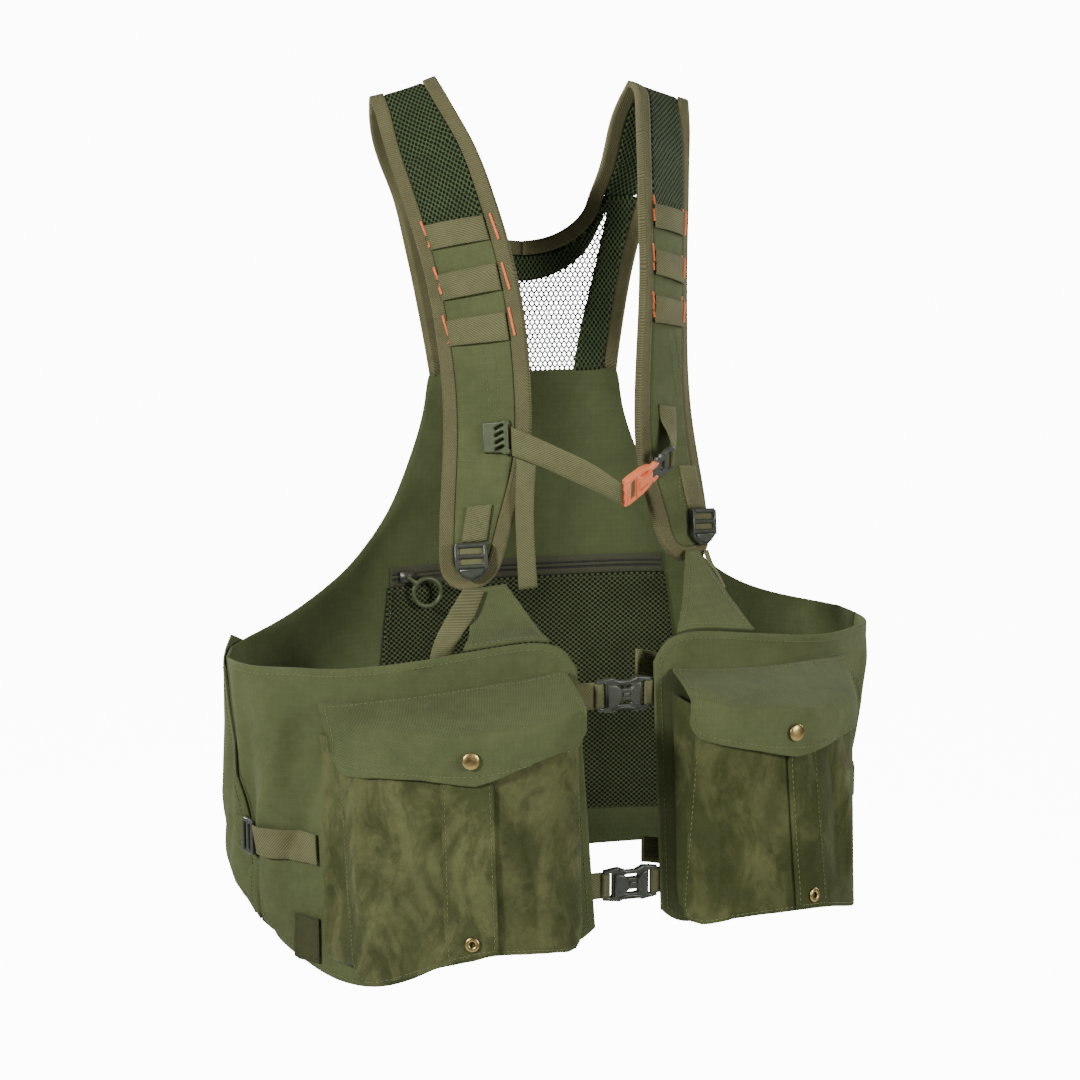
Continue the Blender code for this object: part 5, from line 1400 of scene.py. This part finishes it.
# raised parts of a buckle: outline, thickness, rounding and height
buckleRaised = [
    ([(-12.4, -8.6), (-12.4, 8.6), (-6, 7.6), (-1.5, 4.0), (-1.5, -4.0), (-6, -7.6)], 4.6, 1.4, 1.6),
    ([(4.5, -3.4), (4.5, 3.4), (8, 7.6), (12.4, 8.8), (12.4, -8.8), (8, -7.6)], 3.6, 1.1, 1.2),
    (roundedBox(5.6, 3.4, 1.2, (1.4, 0)), 4.0, 1.0, 1.0),
]
buckleProng = [(-9.5, 9.4), (-8.6, 12.6), (-3.6, 10.4), (3.6, 10.4), (9.4, 12.8), (10.8, 9.6), (3.0, 7.8),
               (-3.0, 7.8)]


def bothSides(outline):
    # the outline, and its mirror image run the same way round
    return outline, [(x, -y) for x, y in outline[::-1]]


def makeFrontBuckles():
    for level in ("upper", "lower"):
        matrix = solidFrame(f"front_buckle_{level}", (1, 0, 0))
        bm = bmesh.new()
        mouldedPlate(bm, [buckleShape, *buckleSlots], 4.4, 1.0, 0.0, matrix)
        for outline, thickness, rounding, lift in buckleRaised:
            mouldedPlate(bm, [outline], thickness, rounding, lift, matrix)
        for prong in bothSides(buckleProng):
            mouldedPlate(bm, [prong], 3.8, 1.2, 1.0, matrix)
        for end in (-18.0, 18.0):
            roundBar(bm, (end, -10.2, 0.6), (end, 10.2, 0.6), 1.7, matrix)
        finishMoulded(bm, f"front_buckle_{level}", "greyPlastic", replaced=True)
        bm = bmesh.new()
        for end in (-18.2, 18.2):
            mouldedPlate(bm, [roundedBox(6.4, 17.6, 0.8, (end, 0))], 4.6, 1.4, 0.2, matrix)
        finishMoulded(bm, f"buckle_webbing_{level}", "webbing")


# both halves of the sternum buckle lie in the female half's frame
femaleShape = [(0.5, -11), (1.2, -7), (0.2, -4), (1.2, 0), (0.2, 4), (1.2, 7), (0.5, 11), (5, 12),
               (12, 11.8), (20, 11.5), (27, 9.6), (30.5, 8), (30.5, -8), (27, -9.6), (20, -11.5),
               (12, -11.8), (5, -12)]
femaleSlots = [roundedBox(4.6, 15.5, 1.2, (8.2, 0)), roundedBox(9.0, 2.6, 1.2, (21.0, 6.2), lean=-10),
               roundedBox(9.0, 2.6, 1.2, (21.0, -6.2), lean=10)]
femaleRaised = [
    ([(14, -4.2), (14, 4.2), (22, 3.6), (29.5, 4.4), (29.5, -4.4), (22, -3.6)], 4.0, 1.2, 1.8),
    (roundedBox(3.0, 20, 1.2, (3.2, 0)), 4.4, 1.2, 1.4),
    (roundedBox(2.6, 20, 1.1, (12.6, 0)), 4.4, 1.1, 1.4),
]
femaleTip = [(30.2, 3.6), (30.2, 7.8), (34.5, 8.6), (38.6, 6.2), (36.0, 3.8)]
maleShape = [(31, -6.5), (31, 6.5), (36, 7.6), (38, 9.6), (40.5, 8.6), (42.5, 10.4), (45, 9.4),
             (47, 10.8), (55, 10.5), (57, 9), (57, -9), (55, -10.5), (47, -10.8), (45, -9.4),
             (42.5, -10.4), (40.5, -8.6), (38, -9.6), (36, -7.6)]
maleSlots = [roundedBox(3.8, 15, 1.2, (51.6, 0)), roundedBox(4.0, 8, 1.2, (43.4, 0))]


def makeSternumBuckle():
    matrix = solidFrame("sternum_buckle_female", (1, 0, 0), middle=(15.5, 0.0))
    bm = bmesh.new()
    mouldedPlate(bm, [femaleShape, *femaleSlots], 5.2, 1.2, 0.0, matrix)
    for outline, thickness, rounding, lift in femaleRaised:
        mouldedPlate(bm, [outline], thickness, rounding, lift, matrix)
    for tip in bothSides(femaleTip):
        mouldedPlate(bm, [tip], 3.6, 1.0, 0.6, matrix)
    finishMoulded(bm, "sternum_buckle_female", "orangePlastic", replaced=True)
    bm = bmesh.new()
    mouldedPlate(bm, [maleShape, *maleSlots], 3.8, 1.0, 0.0, matrix)
    roundBar(bm, (55.2, -8.6, 0.5), (55.2, 8.6, 0.5), 1.6, matrix)
    finishMoulded(bm, "sternum_buckle_male", "greyPlastic", replaced=True)
    bm = bmesh.new()
    mouldedPlate(bm, [roundedBox(4.2, 15.0, 0.6, (8.2, 0))], 2.4, 0.6, 0.4, matrix)
    mouldedPlate(bm, [roundedBox(5.0, 14.0, 0.8, (55.6, 0))], 4.4, 1.3, 0.2, matrix)
    finishMoulded(bm, "sternum_wraps", "webbing")


sliderShape = [(10, -10.5), (10, 10.5), (-3, 11), (-5.5, 12.4), (-9.4, 12.0), (-10, 9.4), (-8.2, 7.4),
               (-7.8, 0), (-8.2, -7.4), (-10, -9.4), (-9.4, -12.0), (-5.5, -12.4), (-3, -11)]
sliderSlots = [roundedBox(7.4, 2.3, 1.0, (-2.0, height), lean=24) for height in (-7.4, -2.5, 2.5, 7.4)]


def makeSlider():
    matrix = solidFrame("sternum_slider", (-1, 0, 0))
    bm = bmesh.new()
    mouldedPlate(bm, [sliderShape, *sliderSlots], 2.8, 0.8, 0.0, matrix)
    roundBar(bm, (-7.6, -11.0, 0.5), (-7.6, 11.0, 0.5), 1.3, matrix)
    finishMoulded(bm, "sternum_slider", "olivePlastic", replaced=True)


sideLockShape = [roundedBox(14, 26, 2.2), *(roundedBox(3.6, 20, 1.2, (aside, 0)) for aside in (-3.2, 3.2))]


def makeSideLocks():
    for side in sides:
        matrix = solidFrame(f"side_lock_{side}", (0, 1, 0))
        bm = bmesh.new()
        mouldedPlate(bm, sideLockShape, 3.2, 0.9, 0.0, matrix)
        for aside in (-5.8, 0, 5.8):
            roundBar(bm, (aside, -11, 0.7), (aside, 11, 0.7), 1.4, matrix)
        finishMoulded(bm, f"side_lock_{side}", "greyPlastic", replaced=True)


makeLadderLocks()
makeFrontBuckles()
makeSternumBuckle()
makeSlider()
makeSideLocks()


def polishNode(nodeName, look, levels, body="vest"):
    # turned and bent hard parts, rounded on their solid's form
    piece = roundedPiece(weldedCopy(nodeName), nodeName + "_form", look, levels, body)
    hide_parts(nodeName)


for side in sides:
    polishNode(f"snap_{side}", "brass", 2)
    polishNode(f"eyelet_{side}", "brass", 2)
polishNode("ring_pull", "olivePlastic", 1, body="ring_pull")
polishNode("zip_slider", "zipMetal", 0)
print("hardware made")

# floor and light: a white room that glows only for the camera, a soft lamp from the right front and
# a stronger one from the left, and two from behind; each lamp has its place, size and power
studio = {
    "floorHeight": -1.40, "floorHalf": 12.0, "floorTone": (0.75, 0.75, 0.75, 1),
    "sky": 0.12, "backdrop": 12.0, "aim": (0, -0.05, -0.3),
    "lamps": {
        "key": ((-2.3, -1.15, 0.85), 0.4, 88.0), "front": ((1.3, -2.1, 0.35), 0.8, 46.0),
        "rear": ((-1.1, 2.3, 0.8), 0.8, 70.0), "rearSide": ((2.2, 0.9, 0.3), 0.8, 34.0),
    },
}


def cameraGlow(tree):
    seen = tree.nodes.new("ShaderNodeLightPath")
    return product(tree, seen.outputs["Is Camera Ray"], studio["backdrop"])


def makeFloor():
    half, height = studio["floorHalf"], studio["floorHeight"]
    mesh = bpy.data.meshes.new("floor")
    corners = [(x, y, height) for x, y in ((-half, -half), (half, -half), (half, half), (-half, half))]
    mesh.from_pydata(corners, [], [(0, 1, 2, 3)])
    floor = bpy.data.objects.new("floor", mesh)
    sceneHome.objects.link(floor)
    material, tree, shader = startMaterial("floor", 0.9)
    shader.inputs["Base Color"].default_value = studio["floorTone"]
    shader.inputs["Emission Color"].default_value = (1, 1, 1, 1)
    tree.links.new(cameraGlow(tree), shader.inputs["Emission Strength"])
    mesh.materials.append(material)


def makeStudio():
    world = bpy.data.worlds.new("studio")
    world.use_nodes = True
    tree = world.node_tree
    background = tree.nodes["Background"]
    background.inputs["Color"].default_value = (1.0, 1.0, 1.0, 1)
    feed(tree, calc(tree, "ADD", cameraGlow(tree), studio["sky"]), background.inputs["Strength"])
    bpy.context.scene.world = world
    for name, (place, size, power) in studio["lamps"].items():
        data = bpy.data.lights.new(name, "AREA")
        data.size = size
        data.energy = power
        lamp = bpy.data.objects.new(name, data)
        lamp.location = place
        lamp.rotation_mode = "QUATERNION"
        lamp.rotation_quaternion = (Vector(studio["aim"]) - lamp.location).to_track_quat("-Z", "Y")
        sceneHome.objects.link(lamp)


makeFloor()
makeStudio()
print("studio made")
